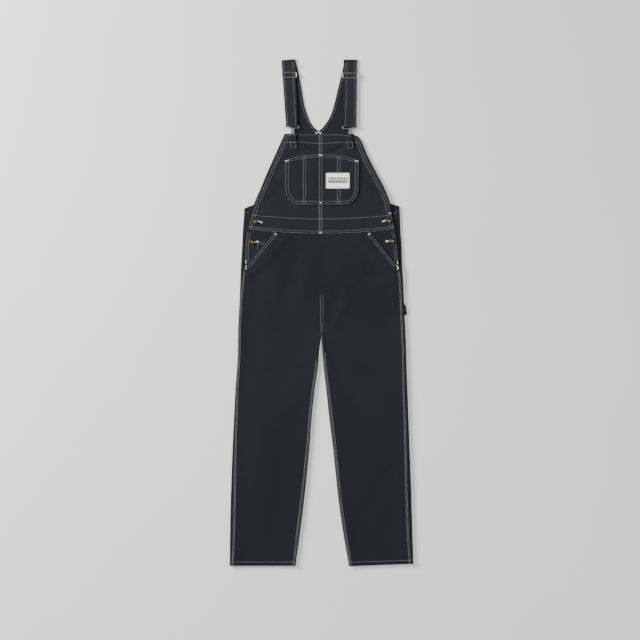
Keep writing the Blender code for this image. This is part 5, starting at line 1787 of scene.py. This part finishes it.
@dataclass
class Straps:
    """Both shoulder straps, folded over the shoulder and doubled below the slider.

    Attributes:
        over_bar_level: level of the cloth over the slider's middle bar.
    """

    room: Workroom
    over_bar_level: float = 4.6

    def path(self, side: Side) -> Array:
        """Strap seen from its side.

        It turns round the shoulder fold, runs down over the slider's middle bar to the
        hook, turns round the hook and comes back underneath to the slider. Its bends
        are half circles, and its rises and falls are smooth steps.

        Args:
            side: the strap.

        Returns:
            Rows of distance along Y and level.
        """
        sizes = STRAPS[side]
        fold = (SECOND_LEVEL - BACK_LEVEL) / 2
        turns = np.radians(np.linspace(-90.0, 90.0, 12))
        level_of_fold = BACK_LEVEL + fold + fold * np.sin(turns)
        shoulder = on_page(STRAP_TOP_Y + fold * np.cos(turns), level_of_fold)
        loop = WIRE + SEAM_GAP + CLOTH / 2
        centre_y = sizes.end + loop + CLOTH / 2
        down = even(STRAP_TOP_Y - 4.0, centre_y + 3.0, 3.0)
        bar = ramp(sizes.slider + 6.5 - down, 0.0, 4.5)
        after = ramp(sizes.slider - 1.0 - down, 0.0, 3.5)
        level = SECOND_LEVEL + (self.over_bar_level - SECOND_LEVEL) * bar
        level = level + (STRAP_UPPER_LEVEL - self.over_bar_level) * after
        turns = np.radians(np.linspace(90.0, 270.0, 14))
        level_of_hook = SECOND_LEVEL + loop + loop * np.sin(turns)
        hook = on_page(centre_y + loop * np.cos(turns), level_of_hook)
        back = even(centre_y + 3.0, sizes.slider - 2.5, 5.0)
        return np.concatenate([shoulder, on_page(down, level), hook, on_page(back, SECOND_LEVEL)])

    def strap(self, side: Side) -> None:
        """Make a strap along its path, with sewn edges and a slight lengthwise ripple."""
        sizes = STRAPS[side]
        path = self.path(side)
        over = np.concatenate([[0.0, 0.025, 0.06], np.linspace(0.1, 0.9, 11), [0.94, 0.975, 1.0]])
        over = over[None, :]
        y, level = path[:, 0:1], path[:, 1:2]
        outer, inner = strap_edge(sizes.outer, y), strap_edge(sizes.inner, y)
        distance = outer + (inner - outer) * over
        lift = sizes.top_outer + (sizes.top_inner - sizes.top_outer) * over
        lift = (lift - STRAP_TOP_Y - 1.35) * ramp(y, STRAP_TOP_Y - 30.0, STRAP_TOP_Y)
        height = y + lift
        inset = np.minimum(outer - distance, distance - inner)
        lines = bell(outer - distance - 5.6, 1.8) + bell(distance - inner - 6.5, 1.8)
        ripple = pucker(height, 1.0 + side.sign)
        raised = -0.10 * lines * (1.0 + 0.5 * ripple) + 0.07 * ripple * bell(inset, 5.0)
        wear = 0.06 * bell(inset, 1.8) + 0.20 * lines
        wear = wear + 0.12 * bell(height - sizes.end, 3.0) + 0.10 * bell(height - 785.0, 4.0)
        middle, name = grid(distance * side.sign, height, level), "shoulder_strap_" + side.value
        # The straps' shade of 0.25 is painted light: they are made paler as if lit more
        panel = Panel(name, middle, -side.sign, raised, wear, shade=0.25, along_path=True)
        self.room.cloth(panel, Hold.FOLDED, ["back_yoke", "strap_hook_" + side.value])

    def build(self) -> None:
        """Make both straps."""
        for side in Side:
            self.strap(side)


@dataclass
class ToolLoop:
    """Folded tape that bulges out beside the left outseam.

    Attributes:
        outline: its outer edge.
        ends: heights of its upper and lower end.
        turn: radius of its fold, at the middle of the cloth.
    """

    room: Workroom
    outline: Course = field(
        default_factory=lambda: Course.of(
            (25.5, 258.2), (20.6, 260.9), (14.4, 262.4), (8.2, 262.8),
            (2.0, 263.7), (-1.7, 265.0), (-4.8, 263.6), (-8.4, 260.2),
        )
    )
    ends: Point = (25.5, -8.4)
    turn: float = 1.0

    def build(self) -> None:
        """Make the loop: along the surface, half a circle at the outer edge, and back on top."""
        y = even(*self.ends, 0.9)[:, None]
        seam = LEGS[Side.LEFT].outer.at(y) + SEAM_GAP
        bend = self.outline.at(y) - self.turn - CLOTH / 2
        turns = np.radians(np.linspace(-90.0, 90.0, 11))[None, :]
        under = seam + (bend - seam) * shares(7)[:, :-1]
        x = abreast(under, bend + self.turn * np.cos(turns), under[:, ::-1])
        low = np.zeros((1, under.shape[1]))
        rise = abreast(low, self.turn * (1.0 + np.sin(turns)), low + 2 * self.turn)
        ripple = pucker(y + 0.6 * x, 0.3)
        wear = 0.10 * bell(x - self.outline.at(y), 1.6) + 0.12 * bell(y - self.ends[0], 1.5)
        middle = grid(x, y, BACK_LEVEL + rise)
        panel = Panel("tool_loop", middle, -1.0, 0.10 + 0.06 * ripple, wear)
        self.room.cloth(panel, Hold.FOLDED, ["back_trouser_left"])


# Fittings


def tube(path: Array, radius: float, around: int = 12, closed: bool = False) -> Shape:
    """Carry a circle along a path.

    Each ring lies in the plane of the path's side direction, its tangent crossed with
    +Z, and of that direction crossed with the tangent. Open ends are drawn in to a
    small ring and closed with quads.

    Args:
        path: points of the path, whose tangent is never upright.
        radius: radius of the wire.
        around: points in a ring, an even number.
        closed: whether the path ends where it starts.

    Returns:
        Points and quads.
    """
    if closed:
        tangent = np.roll(path, -1, axis=0) - np.roll(path, 1, axis=0)
        sizes = np.full(len(path), radius)
    else:
        first, last = path[1] - path[0], path[-1] - path[-2]
        first = first / np.linalg.norm(first) * radius * 0.5
        last = last / np.linalg.norm(last) * radius * 0.5
        path = np.concatenate([[path[0] - first], path, [path[-1] + last]])
        tangent = np.gradient(path, axis=0)
        sizes = np.full(len(path), radius)
        sizes[[0, -1]] = radius * 0.55
    tangent = tangent / np.linalg.norm(tangent, axis=1, keepdims=True)
    side = np.cross(tangent, [0.0, 0.0, 1.0])
    side = side / np.linalg.norm(side, axis=1, keepdims=True)
    rise = np.cross(side, tangent)
    turns = np.arange(around) * 2.0 * math.pi / around
    ring = side[:, None] * np.cos(turns)[None, :, None] + rise[:, None] * np.sin(turns)[None, :, None]
    points = path[:, None] + ring * sizes[:, None, None]
    quads = ring_quads(len(path), around, closed) if closed else capped(len(path), around)
    return points.reshape(-1, 3), quads


def ring_quads(rings: int, around: int, closed: bool = False) -> Array:
    """Quads between neighbouring rings, and where closed from the last ring to the first."""
    ring = np.arange(rings if closed else rings - 1)[:, None]
    step = np.arange(around)[None, :]
    onward, following = (ring + 1) % rings * around, (step + 1) % around
    ring = ring * around
    quads = np.stack([ring + step, ring + following, onward + following, onward + step], axis=2)
    return quads.reshape(-1, 4)


def capped(rings: int, around: int) -> Array:
    """Quads between neighbouring rings, with the first and the last ring closed."""
    caps = disc(around)
    return np.concatenate([ring_quads(rings, around), caps[:, ::-1], caps + (rings - 1) * around])


def disc(around: int) -> Array:
    """Quads that close a ring of an even number of points: strips between its two halves."""
    step = np.arange(around // 2 - 1)
    return np.stack([step, step + 1, around - 2 - step, around - 1 - step], axis=1)


def join(*shapes: Shape) -> Shape:
    """Put several (points, quads) shapes into one."""
    points = [shape[0] for shape in shapes]
    starts = np.cumsum([0] + [len(each) for each in points[:-1]])
    quads = [shape[1] + start for shape, start in zip(shapes, starts)]
    return np.concatenate(points), np.concatenate(quads)


def rounded_loop(low: Point, high: Point, radius: float, per_corner: int = 6) -> Array:
    """Closed line round a rectangle with rounded corners, against the clock.

    Args:
        low: (x, y) of its lower corner.
        high: (x, y) of its upper corner.
        radius: radius of its corners.
        per_corner: points on each corner.

    Returns:
        Points of the line.
    """
    turns = np.linspace(0.0, math.pi / 2, per_corner)
    parts = []
    left, right = low[0] + radius, high[0] - radius
    lower, upper = low[1] + radius, high[1] - radius
    centres = [(right, upper), (left, upper), (left, lower), (right, lower)]
    for quarter, centre in enumerate(centres):
        turn = turns + quarter * math.pi / 2
        parts.append(on_page(np.cos(turn), np.sin(turn)) * radius + np.array(centre))
    return np.concatenate(parts)


@dataclass
class Fittings:
    """Sliders, hooks and side buttons.

    Attributes:
        side_gap: space between a strap's edge and a slider's end.
        side_width: width of a slider's end.
        half_pitch: distance from a slider's middle bar to each outer bar.
        centre_level: level of a slider's middle bar.
        hook_drop: distance between the two bars of a hook's frame.
        tang_half: half the width of a hook's tang.
        tang_end: lower end of a hook's tang.
        button_radius: radius of a side button.
        button_height: height of a side button.
    """

    room: Workroom
    side_gap: float = 1.1
    side_width: float = 2.4
    half_pitch: float = 7.7
    centre_level: float = 2.6
    hook_drop: float = 6.2
    tang_half: float = 6.25
    tang_end: float = 531.0
    button_radius: float = 8.5
    button_height: float = 3.2

    def slider(self, side: Side) -> None:
        """Make a ladder slider.

        A wire is carried round a rounded rectangle that tilts from the upper bar to the
        lower one, and a second wire dips from its ends to run under the strap.

        Args:
            side: the strap it is on.
        """
        sizes = STRAPS[side]
        y = sizes.slider
        outer = strap_edge(sizes.outer, y) + self.side_gap + self.side_width / 2
        inner = strap_edge(sizes.inner, y) - self.side_gap - self.side_width / 2
        ends = np.sort(np.array([inner, outer]) * side.sign)
        upper = SECOND_LEVEL + CLOTH / 2 + SEAM_GAP + WIRE
        lower = STRAP_UPPER_LEVEL + CLOTH / 2 + SEAM_GAP + WIRE
        line = rounded_loop((ends[0], y - self.half_pitch), (ends[1], y + self.half_pitch), 2.2)
        share = (line[:, 1] - y + self.half_pitch) / (2 * self.half_pitch)
        level = lower + (upper - lower) * share
        ladder = tube(np.column_stack([line, level]), WIRE, closed=True)
        across = np.linspace(ends[0] + 0.2, ends[1] - 0.2, 34)
        near_end = np.minimum(across - ends[0], ends[1] - across)
        mean = (lower + upper) / 2
        dip = mean + (self.centre_level - mean) * ramp(near_end, 0.3, 2.6)
        bar = tube(np.column_stack([across, y + 0.0 * across, dip]), WIRE * 0.92)
        points, quads = join(ladder, bar)
        piece = write_mesh("slider_" + side.value, points, quads, self.room.nickel)
        self.room.keep(piece, Slot.NICKEL, "strap_slider_" + side.value)

    def plate(self, centre: float, low: float, high: float, level: float) -> Shape:
        """Make a hook's tang.

        Its half width narrows to a neck below the frame and widens again under the tab,
        and its section is a flat oval: the width times a cosine and the thickness times
        a sine, both drawn out towards the corners.

        Args:
            centre: place of its middle along X.
            low: its lower end.
            high: its upper end.
            level: level of its underside.

        Returns:
            Points and quads.
        """
        rings, around = 26, 20
        y = np.linspace(high, low, rings)
        share = (high - y) / (high - low)
        neck = 1.0 - 0.24 * bell(share - 0.22, 0.16)
        ends = np.sqrt(np.clip(1.0 - (2.0 * np.abs(share - 0.5)) ** 14, 0.02, 1.0))
        half = self.tang_half * neck * ends
        turns = np.arange(around) * 2.0 * math.pi / around
        wide = np.sign(np.cos(turns)) * np.abs(np.cos(turns)) ** 0.35
        thick = np.sign(np.sin(turns)) * np.abs(np.sin(turns)) ** 0.45
        x = centre + half[:, None] * wide[None, :]
        z = level + TANG_THICKNESS / 2 * (1.0 + ends[:, None] * thick[None, :])
        return grid(x, y[:, None], z).reshape(-1, 3), capped(rings, around)

    def hook(self, side: Side) -> None:
        """Make a hook: a wire frame in the strap's loop and the tang down to the bib.

        Args:
            side: the strap it is on.
        """
        sizes = STRAPS[side]
        loop = WIRE + SEAM_GAP + CLOTH / 2
        upper_y = sizes.end + loop + CLOTH / 2
        lower_y = upper_y - self.hook_drop
        level = SECOND_LEVEL + loop
        ends = np.sort(np.array([sizes.hook_inner + WIRE, sizes.hook_outer - WIRE]) * side.sign)
        line = rounded_loop((ends[0], lower_y), (ends[1], upper_y), 2.6)
        frame_wire = tube(np.column_stack([line, 0.0 * line[:, 0] + level]), WIRE, closed=True)
        base = SECOND_LEVEL + CLOTH / 2 + SEAM_GAP
        plate = self.plate(sizes.tang_x * side.sign, self.tang_end, lower_y + WIRE * 0.4, base)
        points, quads = join(frame_wire, plate)
        piece = write_mesh("hook_" + side.value, points, quads, self.room.nickel)
        self.room.keep(piece, Slot.NICKEL, "strap_hook_" + side.value)

    def button(self, node: str, x: float, y: float, base: float) -> None:
        """Turn a button about its axis.

        The radius and the height follow one profile: a flat foot, a rolled rim, a
        groove with a milled ripple, and a shallow plain dome.

        Args:
            node: the node it stands for.
            x: place of its axis along X.
            y: place of its axis along Y.
            base: level of its foot.
        """
        profile = np.array([
            (0.30, 0.00), (0.70, 0.00), (0.84, 0.03), (0.95, 0.18), (1.00, 0.42), (0.99, 0.66),
            (0.95, 0.84), (0.90, 0.92), (0.85, 0.88), (0.82, 0.74), (0.77, 0.66), (0.70, 0.70),
            (0.58, 0.82), (0.42, 0.92), (0.22, 0.985), (0.05, 1.00),
        ])
        around, ridges = 44, 22
        turns = np.arange(around) * 2.0 * math.pi / around
        radius = self.button_radius * profile[:, 0:1]
        groove = bell(profile[:, 0:1] - 0.79, 0.05) * (profile[:, 1:2] > 0.6)
        rise = self.button_height * (profile[:, 1:2] + 0.05 * groove * np.cos(ridges * turns))
        ring = grid(x + radius * np.cos(turns), y + radius * np.sin(turns), base + rise)
        # Painted highlight: the wear at the middle of the dome takes the pale rubbed colour
        wear = 0.8 * np.repeat(bell(profile[:, 0], 0.30) * (profile[:, 1] > 0.5), around)
        points, quads = ring.reshape(-1, 3), capped(len(profile), around)
        piece = write_mesh("button_" + node, points, quads, self.room.bronze, None, wear)
        self.room.keep(piece, Slot.BRONZE, node)

    def build(self) -> None:
        """Make every fitting."""
        for side in Side:
            self.slider(side)
            self.hook(side)
        base = WAIST_LEVEL + CLOTH / 2 + SEAM_GAP
        on_band = base + HEM_RAISE
        self.button("side_button_right_upper", -206.9, 282.5, on_band)
        self.button("side_button_right_lower", -215.0, 219.0, base)
        self.button("side_button_left_upper", 207.9, 285.3, on_band)
        self.button("side_button_left_lower", 218.1, 222.7, base)


# Sewing


@dataclass(frozen=True)
class Stitch:
    """One stitch of a row, in millimetres.

    Attributes:
        pitch: distance from one stitch to the next.
        length: length of the thread that shows.
        half_width: half its width.
        half_height: half its height.
        lift: how far its middle stands above the cloth.
    """

    pitch: float = 3.1
    length: float = 2.85
    half_width: float = 0.21
    half_height: float = 0.18
    lift: float = 0.14


TOPSTITCH = Stitch()
BAR_THREAD = Stitch(pitch=0.62, length=2.6, half_width=0.30, half_height=0.22, lift=0.30)
LABEL_STITCH = Stitch(pitch=2.2, length=1.7, half_width=0.18, half_height=0.14, lift=0.10)


def arc_of(path: Array) -> Array:
    """Way along a path at each of its points."""
    steps = np.linalg.norm(np.diff(path, axis=0), axis=1)
    return np.concatenate([[0.0], np.cumsum(steps)])


def points_at(path: Array, arc: Array, places: Array) -> Array:
    """Points of a path at places along its arc."""
    return np.stack([np.interp(places, arc, path[:, k]) for k in (0, 1)], axis=1)


def square_of(half_x: float, first: float, second: float, middle: Point) -> list[Array]:
    """The four sides of a rectangle, begun at its first height, about its middle."""
    corners = [(-half_x, first), (half_x, first), (half_x, second), (-half_x, second)]
    return [np.array(edge) + np.array(middle) for edge in zip(corners, corners[1:] + corners[:1])]


def bar_of(centre: Point, angle: float, length: float) -> Array:
    """Straight line of a bartack from its centre, its angle in degrees and its length."""
    turn = math.radians(angle)
    half = np.array([math.cos(turn), math.sin(turn)]) * length / 2
    return np.stack([np.array(centre) - half, np.array(centre) + half])


@dataclass
class Sewing:
    """Every row of stitches, bartack and buttonhole.

    Attributes:
        twin: distance between the two rows of a twin-needle seam.
        fell: distance of each row from a felled side seam.
        tacks: centre, angle and length of each bartack that seams don't place.
        holes: both ends of each buttonhole.
        first_depth: depth of the first row inside a turned edge.
        bars: bartacks and buttonholes sewn so far.
    """

    room: Workroom
    twin: float = TWIN
    fell: float = 2.0
    tacks: tuple[tuple[Point, float, float], ...] = (
        ((-234.2, 157.0), 80.0, 9.0), ((-234.6, 141.5), 62.0, 11.0), ((-235.6, 138.5), 118.0, 10.0),
        ((235.4, 155.0), 100.0, 9.0), ((236.2, 141.0), 118.0, 11.0), ((237.2, 138.0), 62.0, 10.0),
        ((-107.6, 470.4), 12.0, 12.0), ((108.6, 470.0), -12.0, 12.0), ((-3.4, 487.6), 0.0, 9.0),
        ((-3.2, 339.6), 0.0, 5.0), ((-3.1, 248.0), 0.0, 6.0), ((211.6, 307.8), 0.0, 6.0)
    )
    holes: tuple[tuple[Point, Point], ...] = (
        ((-199.4, 284.6), (-184.8, 279.4)), ((-208.6, 219.2), (-195.6, 220.2)),
        ((188.8, 282.6), (201.4, 285.8)), ((199.4, 220.8), (211.4, 221.6))
    )
    first_depth: float = 2.6
    bars: list[tuple] = field(default_factory=list)

    def threads(
        self, starts: Array, ends: Array, stitch: Stitch, under: bool = False, taut: bool = False
    ) -> tuple[Array, Array, Array]:
        """Make one short thread from each start to each end.

        A thread is a ring of six points carried through four stations. Its middle
        follows the cloth's height, lifted between its ends and sunk at them, where it
        is also thinner.

        Args:
            starts: (x, y) of each start.
            ends: (x, y) of each end.
            stitch: its sizes.
            under: whether it lies on the underside of the garment.
            taut: whether it spans level over the highest cloth below it.

        Returns:
            Points, quads, and the way along and around the thread at each point.
        """
        stations = np.array([0.0, 0.24, 0.76, 1.0])[None, :, None]
        swell = np.array([0.42, 1.0, 1.0, 0.42])[None, :, None]
        lifts = np.array([-0.10, 1.0, 1.0, -0.10])[None, :] * stitch.lift
        page = starts[:, None] * (1 - stations) + ends[:, None] * stations
        if under:
            level = np.broadcast_to(-0.1 * lifts, page.shape[:2])
        else:
            below = self.room.heights.at(page[:, :, 0], page[:, :, 1])
            level = (below.max(axis=1, keepdims=True) if taut else below) + lifts
        run = ends - starts
        length = np.linalg.norm(run, axis=1, keepdims=True)
        side = on_page(-run[:, 1], run[:, 0]) / length
        turns = (np.arange(6) * 60.0 - 90.0) * math.pi / 180.0
        wide = np.cos(turns)[None, None, :] * stitch.half_width * swell
        high = np.sin(turns)[None, None, :] * stitch.half_height * swell
        x = page[:, :, 0:1] + side[:, None, 0:1] * wide
        y = page[:, :, 1:2] + side[:, None, 1:2] * wide
        z = level[:, :, None] + high
        points = np.stack([x, y, z], axis=3).reshape(-1, 3)
        # A thread's ring runs the other way round, so its faces are turned
        each = capped(4, 6)[:, [0, 3, 2, 1]]
        quads = (each[None] + np.arange(len(starts))[:, None, None] * 24).reshape(-1, 4)
        along = (stations[:, :, 0] * length)[:, :, None] + 0.0 * wide
        around = np.broadcast_to(np.arange(6) * 0.3, along.shape)
        flat = np.stack([along, around, 0.0 * along], axis=3).reshape(-1, 3)
        return points, quads, flat

    def rows(
        self, paths: Sequence[Array], stitch: Stitch = TOPSTITCH, under: bool = False
    ) -> list[tuple]:
        """Sew along each path: as many whole stitches as fit, evenly spaced by arc length."""
        made = []
        for path in paths:
            arc = arc_of(path)
            count = max(int(round(arc[-1] / stitch.pitch)), 1)
            middles = (np.arange(count) + 0.5) * arc[-1] / count
            first = points_at(path, arc, middles - stitch.length / 2)
            last = points_at(path, arc, middles + stitch.length / 2)
            made.append(self.threads(first, last, stitch, under))
        return made

    def tack(self, path: Array, width: float = 2.6) -> tuple:
        """Sew a bartack: threads across the path, slanting to one side and the other in turn."""
        arc = arc_of(path)
        count = max(int(round(arc[-1] / BAR_THREAD.pitch)), 2)
        page = points_at(path, arc, np.linspace(0.0, arc[-1], count))
        run = np.gradient(page, axis=0)
        run = run / np.linalg.norm(run, axis=1, keepdims=True)
        side = on_page(-run[:, 1], run[:, 0]) * width / 2
        slant = run * (0.35 * (-1.0) ** np.arange(count))[:, None]
        return self.threads(page - side - slant, page + side + slant, BAR_THREAD, taut=True)

    def buttonhole(self, start: Point, end: Point) -> list[tuple]:
        """Sew a buttonhole: a dense row down each side of its slit and a bar at both ends."""
        line = np.array([start, end])
        run = (line[1] - line[0]) / np.linalg.norm(line[1] - line[0])
        side = np.array([-run[1], run[0]])
        rows = [self.tack(line + side * offset, 1.9) for offset in (-1.25, 1.25)]
        bars = [self.tack(np.stack([end_at - side * 2.0, end_at + side * 2.0]), 1.8) for end_at in line]
        return rows + bars

    def piece(self, name: str, rows: Sequence[tuple], thread: Material | None = None) -> None:
        """Join rows of threads into one piece."""
        points, quads = join(*((row[0], row[1]) for row in rows))
        flat = np.concatenate([row[2] for row in rows])
        made = write_mesh("sewing_" + name, points, quads, thread or self.room.thread, flat)
        self.room.keep(made, Slot.CANVAS)

    def leg(self, side: Side) -> list[Array]:
        """Rows of one leg: the felled seams, the hem and the slanted mouth."""
        lines, sign = LEGS[side], side.sign
        y = np.linspace(127.0, -784.0, 240)
        outseam = lines.outer.at(y) - lines.outseam.at(y)
        low = np.linspace(-124.0 if side is Side.LEFT else -150.0, -784.0, 190)
        inner = np.maximum(lines.inner.at(low), LEG_SPLIT)
        inseam = inner + np.maximum(lines.inseam.at(low), LEAST_INSET)
        paths = []
        for offset in (-self.fell, self.fell):
            for seam, height in ((outseam, y), (inseam, low)):
                distance = seam + offset
                paths.append(on_page(distance * sign, hem_height(side, distance, height)))
        across = np.linspace(lines.inner.at(HEM_ROW_Y) + 1.0, lines.outer.at(HEM_ROW_Y) - 1.0, 60)
        paths.append(on_page(across * sign, hem_height(side, across, HEM_ROW_Y)))
        for depth in (self.first_depth, self.first_depth + self.twin):
            paths.append(SLASHES[side].inset(depth))
        mouth = SLASHES[side].inset(2.0 + self.twin / 2)
        run = mouth[1] - mouth[0]
        square = math.degrees(math.atan2(run[1], run[0])) + 90.0
        self.bars.append(self.tack(bar_of(tuple(mouth[0]), square, 9.0)))
        return paths

    def waist(self) -> list[Array]:
        """Rows of the waist band, the facings, the coin pocket and the centre front."""
        x, wide = np.linspace(-216.0, 216.0, 140), np.linspace(-224.0, 224.0, 140)
        first = 1.9
        paths = [on_page(x, band_edge(x) - first)]
        paths += [on_page(wide, waist_edge(wide) + rise) for rise in (first, first + self.twin)]
        y = np.linspace(250.0, 160.0, 40)
        for side in Side:
            for inset in (3.6, 3.6 + self.twin):
                paths.append(on_page((FRONT_EDGES[side].at(y) - inset) * side.sign, y))
            paths.append(np.array([(239.0, 315.6), (224.5, 306.4)]) * np.array([side.sign, 1.0]))
        mouth = SLASHES[Side.RIGHT]
        for height in (218.2, 212.4):
            paths.append(np.array([(-198.6, height), (-float(mouth.at(height)) - 3.0, height)]))
        paths.append(np.array([(-198.4, 217.0), (-198.4, 192.5)]))
        paths += [np.array([(252.0, height), (261.0, height)]) for height in (8.4, 6.4)]
        for place in (-3.5, 4.4):
            paths.append(np.array([(place, 55.3), (place, -34.0), (0.3 * place - 0.4, -58.0)]))
        return paths

    def bib(self, bib: Bib) -> list[Array]:
        """Rows of the bib: sides, top, facing, centre fell and the squares under the tabs."""
        paths = []
        for side in Side:
            sign = side.sign
            y = np.linspace(bib.top - bib.corner_drop[side] - 3.0, 261.0, 120)
            for beyond in (0.0, BIB_TWIN):
                distance = FRONT_EDGES[side].at(y) - BIB_ROW.at(y) - beyond
                paths.append(on_page(distance * sign, y))
            across = np.linspace(1.0, 109.0, 40)
            paths.append(on_page(across * sign, bib.top_edge(side, across) - 4.4))
            facing = np.linspace(0.0, 116.0 if side is Side.RIGHT else 120.0, 50)
            bow = 524.4 + 4.2 * ramp(facing, 0.0, 80.0) - 3.0 * ramp(facing, 86.0, 122.0)
            paths.append(on_page(facing * sign, bow))
            top, low = 526.5, 509.4
            paths += square_of(8.0, top, low, (bib.tab_x[side] * sign, 0.0))
        for place in (bib.seam_x - 3.75, bib.seam_x + 3.75):
            paths.append(np.array([(place, 551.0), (place, 245.5)]))
        return paths

    def pocket(self, pocket: BibPocket) -> list[tuple]:
        """Rows of the pocket: its rim, mouth and channels, and the edge of the label."""
        paths = [pocket.rim(2.2), pocket.rim(10.6)]
        over = np.linspace(-pocket.half + 2.5, pocket.half - 2.5, 70)
        for depth in (self.first_depth, self.first_depth + self.twin):
            paths.append(on_page(over + pocket.centre_x, pocket.mouth(over) - depth))
        for place in (-56.9, -49.1, 49.5, 57.3):
            paths.append(np.array([(place, 486.0), (place, 336.6)]))
        half_x, half_y = pocket.label_size[0] / 2 - 1.5, pocket.label_size[1] / 2 - 1.5
        edges = square_of(half_x, -half_y, half_y, pocket.label_centre)
        return self.rows(paths) + self.rows(edges, LABEL_STITCH)

    def straps(self, yoke: BackYoke) -> list[Array]:
        """Rows of both straps and of the neckline."""
        paths = []
        inner_insets = {Side.RIGHT: (9.3, 5.2), Side.LEFT: (11.2, 4.6)}
        for side in Side:
            sizes = STRAPS[side]
            y = np.linspace(778.0, sizes.end + 3.0, 70)
            outer = strap_edge(sizes.outer, y) - 5.6
            inner = strap_edge(sizes.inner, y) + strap_edge(inner_insets[side], y)
            paths += [on_page(distance * side.sign, y) for distance in (outer, inner)]
            paths.append(yoke.neckline(side, 6.2))
        crescent = [(-18.4, 556.0), (-14.0, 557.8), (-9.5, 558.6), (-5.0, 557.8), (-1.0, 556.0)]
        self.bars.append(self.tack(np.array(crescent), 3.8))
        return paths

    def underside(self, yoke: BackYoke) -> list[Array]:
        """Rows on the back: centre seam, yoke seam, hems and the edges of the yoke."""
        paths = []
        for side in Side:
            sign, top = side.sign, 335.0
            paths.append(np.array([(3.3 * sign, 336.0), (3.3 * sign, -52.0)]))
            for height in (top, top - self.twin):
                paths.append(np.array([(4.0 * sign, height), (196.0 * sign, height)]))
            across = np.linspace(float(LEGS[side].inner.at(HEM_ROW_Y)) + 4.0, 278.0, 40)
            paths.append(on_page(across * sign, hem_height(side, across, HEM_ROW_Y)))
            y = np.linspace(348.0, 772.0, 120)
            paths.append(on_page(yoke.edge[side].at(y) - 5.6 * sign, y))
            paths.append(yoke.neckline(side, 6.2))
        return paths

    def build(self) -> None:
        """Sew every row."""
        bib, pocket, yoke = Bib(self.room), BibPocket(self.room), BackYoke(self.room)
        for side in Side:
            self.piece("leg_" + side.value, self.rows(self.leg(side)))
        self.piece("waist", self.rows(self.waist()))
        self.piece("bib", self.rows(self.bib(bib)))
        self.piece("pocket", self.pocket(pocket))
        self.piece("straps", self.rows(self.straps(yoke)))
        self.piece("underside", self.rows(self.underside(yoke), under=True))
        self.bars += [self.tack(bar_of(*tack)) for tack in self.tacks]
        for start, end in self.holes:
            self.bars += self.buttonhole(start, end)
        self.piece("bars", self.bars, self.room.bar_thread)


# Studio


@dataclass
class Studio:
    """Pale floor, soft lights and a camera that looks straight down.

    Attributes:
        frame_centre: (x, y) in metres of the middle of the picture.
        frame_width: width of the picture in metres.
        lens: focal length in millimetres.
        sensor: width of the camera's sensor in millimetres.
        floor_half: half the side of the floor in millimetres.
        floor_depth: how far it lies below the garment.
    """

    room: Workroom
    frame_centre: Point = (-0.0048, -0.0228)
    frame_width: float = 1.984
    lens: float = 100.0
    sensor: float = 36.0
    floor_half: float = 9000.0
    floor_depth: float = 0.6

    def floor(self) -> None:
        """Lay a wide sheet of pale paper just below the garment."""
        count = 7
        side = np.linspace(-self.floor_half, self.floor_half, count)
        points = grid(side[:, None], side[None, :], -self.floor_depth).reshape(-1, 3)
        quads = grid_quads(count, count, False)
        floor = write_mesh("studio_floor", points, quads, PaperFloor().make())

    def light(self, name: str, place: Colour, size: float, power: float, tint: Colour) -> None:
        """Hang a square soft light that looks at the middle of the garment.

        Args:
            name: name of the light.
            place: where it hangs, in metres.
            size: side of the square in metres.
            power: power in watts.
            tint: its colour.
        """
        data = bpy.data.lights.new(name, "AREA")
        data.shape = "SQUARE"
        data.size = size
        data.energy = power
        data.color = tint
        lamp = bpy.data.objects.new(name, data)
        lamp.location = place
        lamp.rotation_euler = Vector(place).to_track_quat("Z", "Y").to_euler()
        bpy.context.collection.objects.link(lamp)

    def camera(self) -> None:
        """Set the camera so that the picture is frame_width wide on the surface."""
        data = bpy.data.cameras.new("camera")
        data.lens = self.lens
        data.sensor_width = self.sensor
        data.clip_end = 60.0
        camera = bpy.data.objects.new("camera", data)
        distance = self.frame_width * self.lens / self.sensor
        camera.location = (*self.frame_centre, distance)
        bpy.context.collection.objects.link(camera)
        bpy.context.scene.camera = camera

    def build(self) -> None:
        """Set up the floor, the lights, the room's own light and the camera."""
        self.floor()
        self.light("key", (-4.2, 1.8, 1.3), 1.3, 900.0, (1.0, 0.985, 0.96))
        self.light("fill", (1.4, -1.4, 4.0), 3.2, 130.0, (0.95, 0.975, 1.0))
        world = bpy.data.worlds.new("studio")
        world.use_nodes = True
        background = world.node_tree.nodes["Background"]
        background.inputs["Color"].default_value = (0.93, 0.95, 1.0, 1.0)
        background.inputs["Strength"].default_value = 0.42
        bpy.context.scene.world = world
        self.camera()


def main() -> None:
    """Build every sub-assembly in order."""
    logging.basicConfig(level=logging.INFO, format="%(name)s %(message)s")
    room = Workroom()
    parts = (
        BackYoke(room), Trousers(room), SideOpenings(room), Bib(room), BibPocket(room), Straps(room),
        ToolLoop(room), Fittings(room), Sewing(room), Studio(room)
    )
    for part in parts:
        part.build()
    LOG.info("all pieces: %d triangles", room.count)


if __name__ == "__main__":
    main()
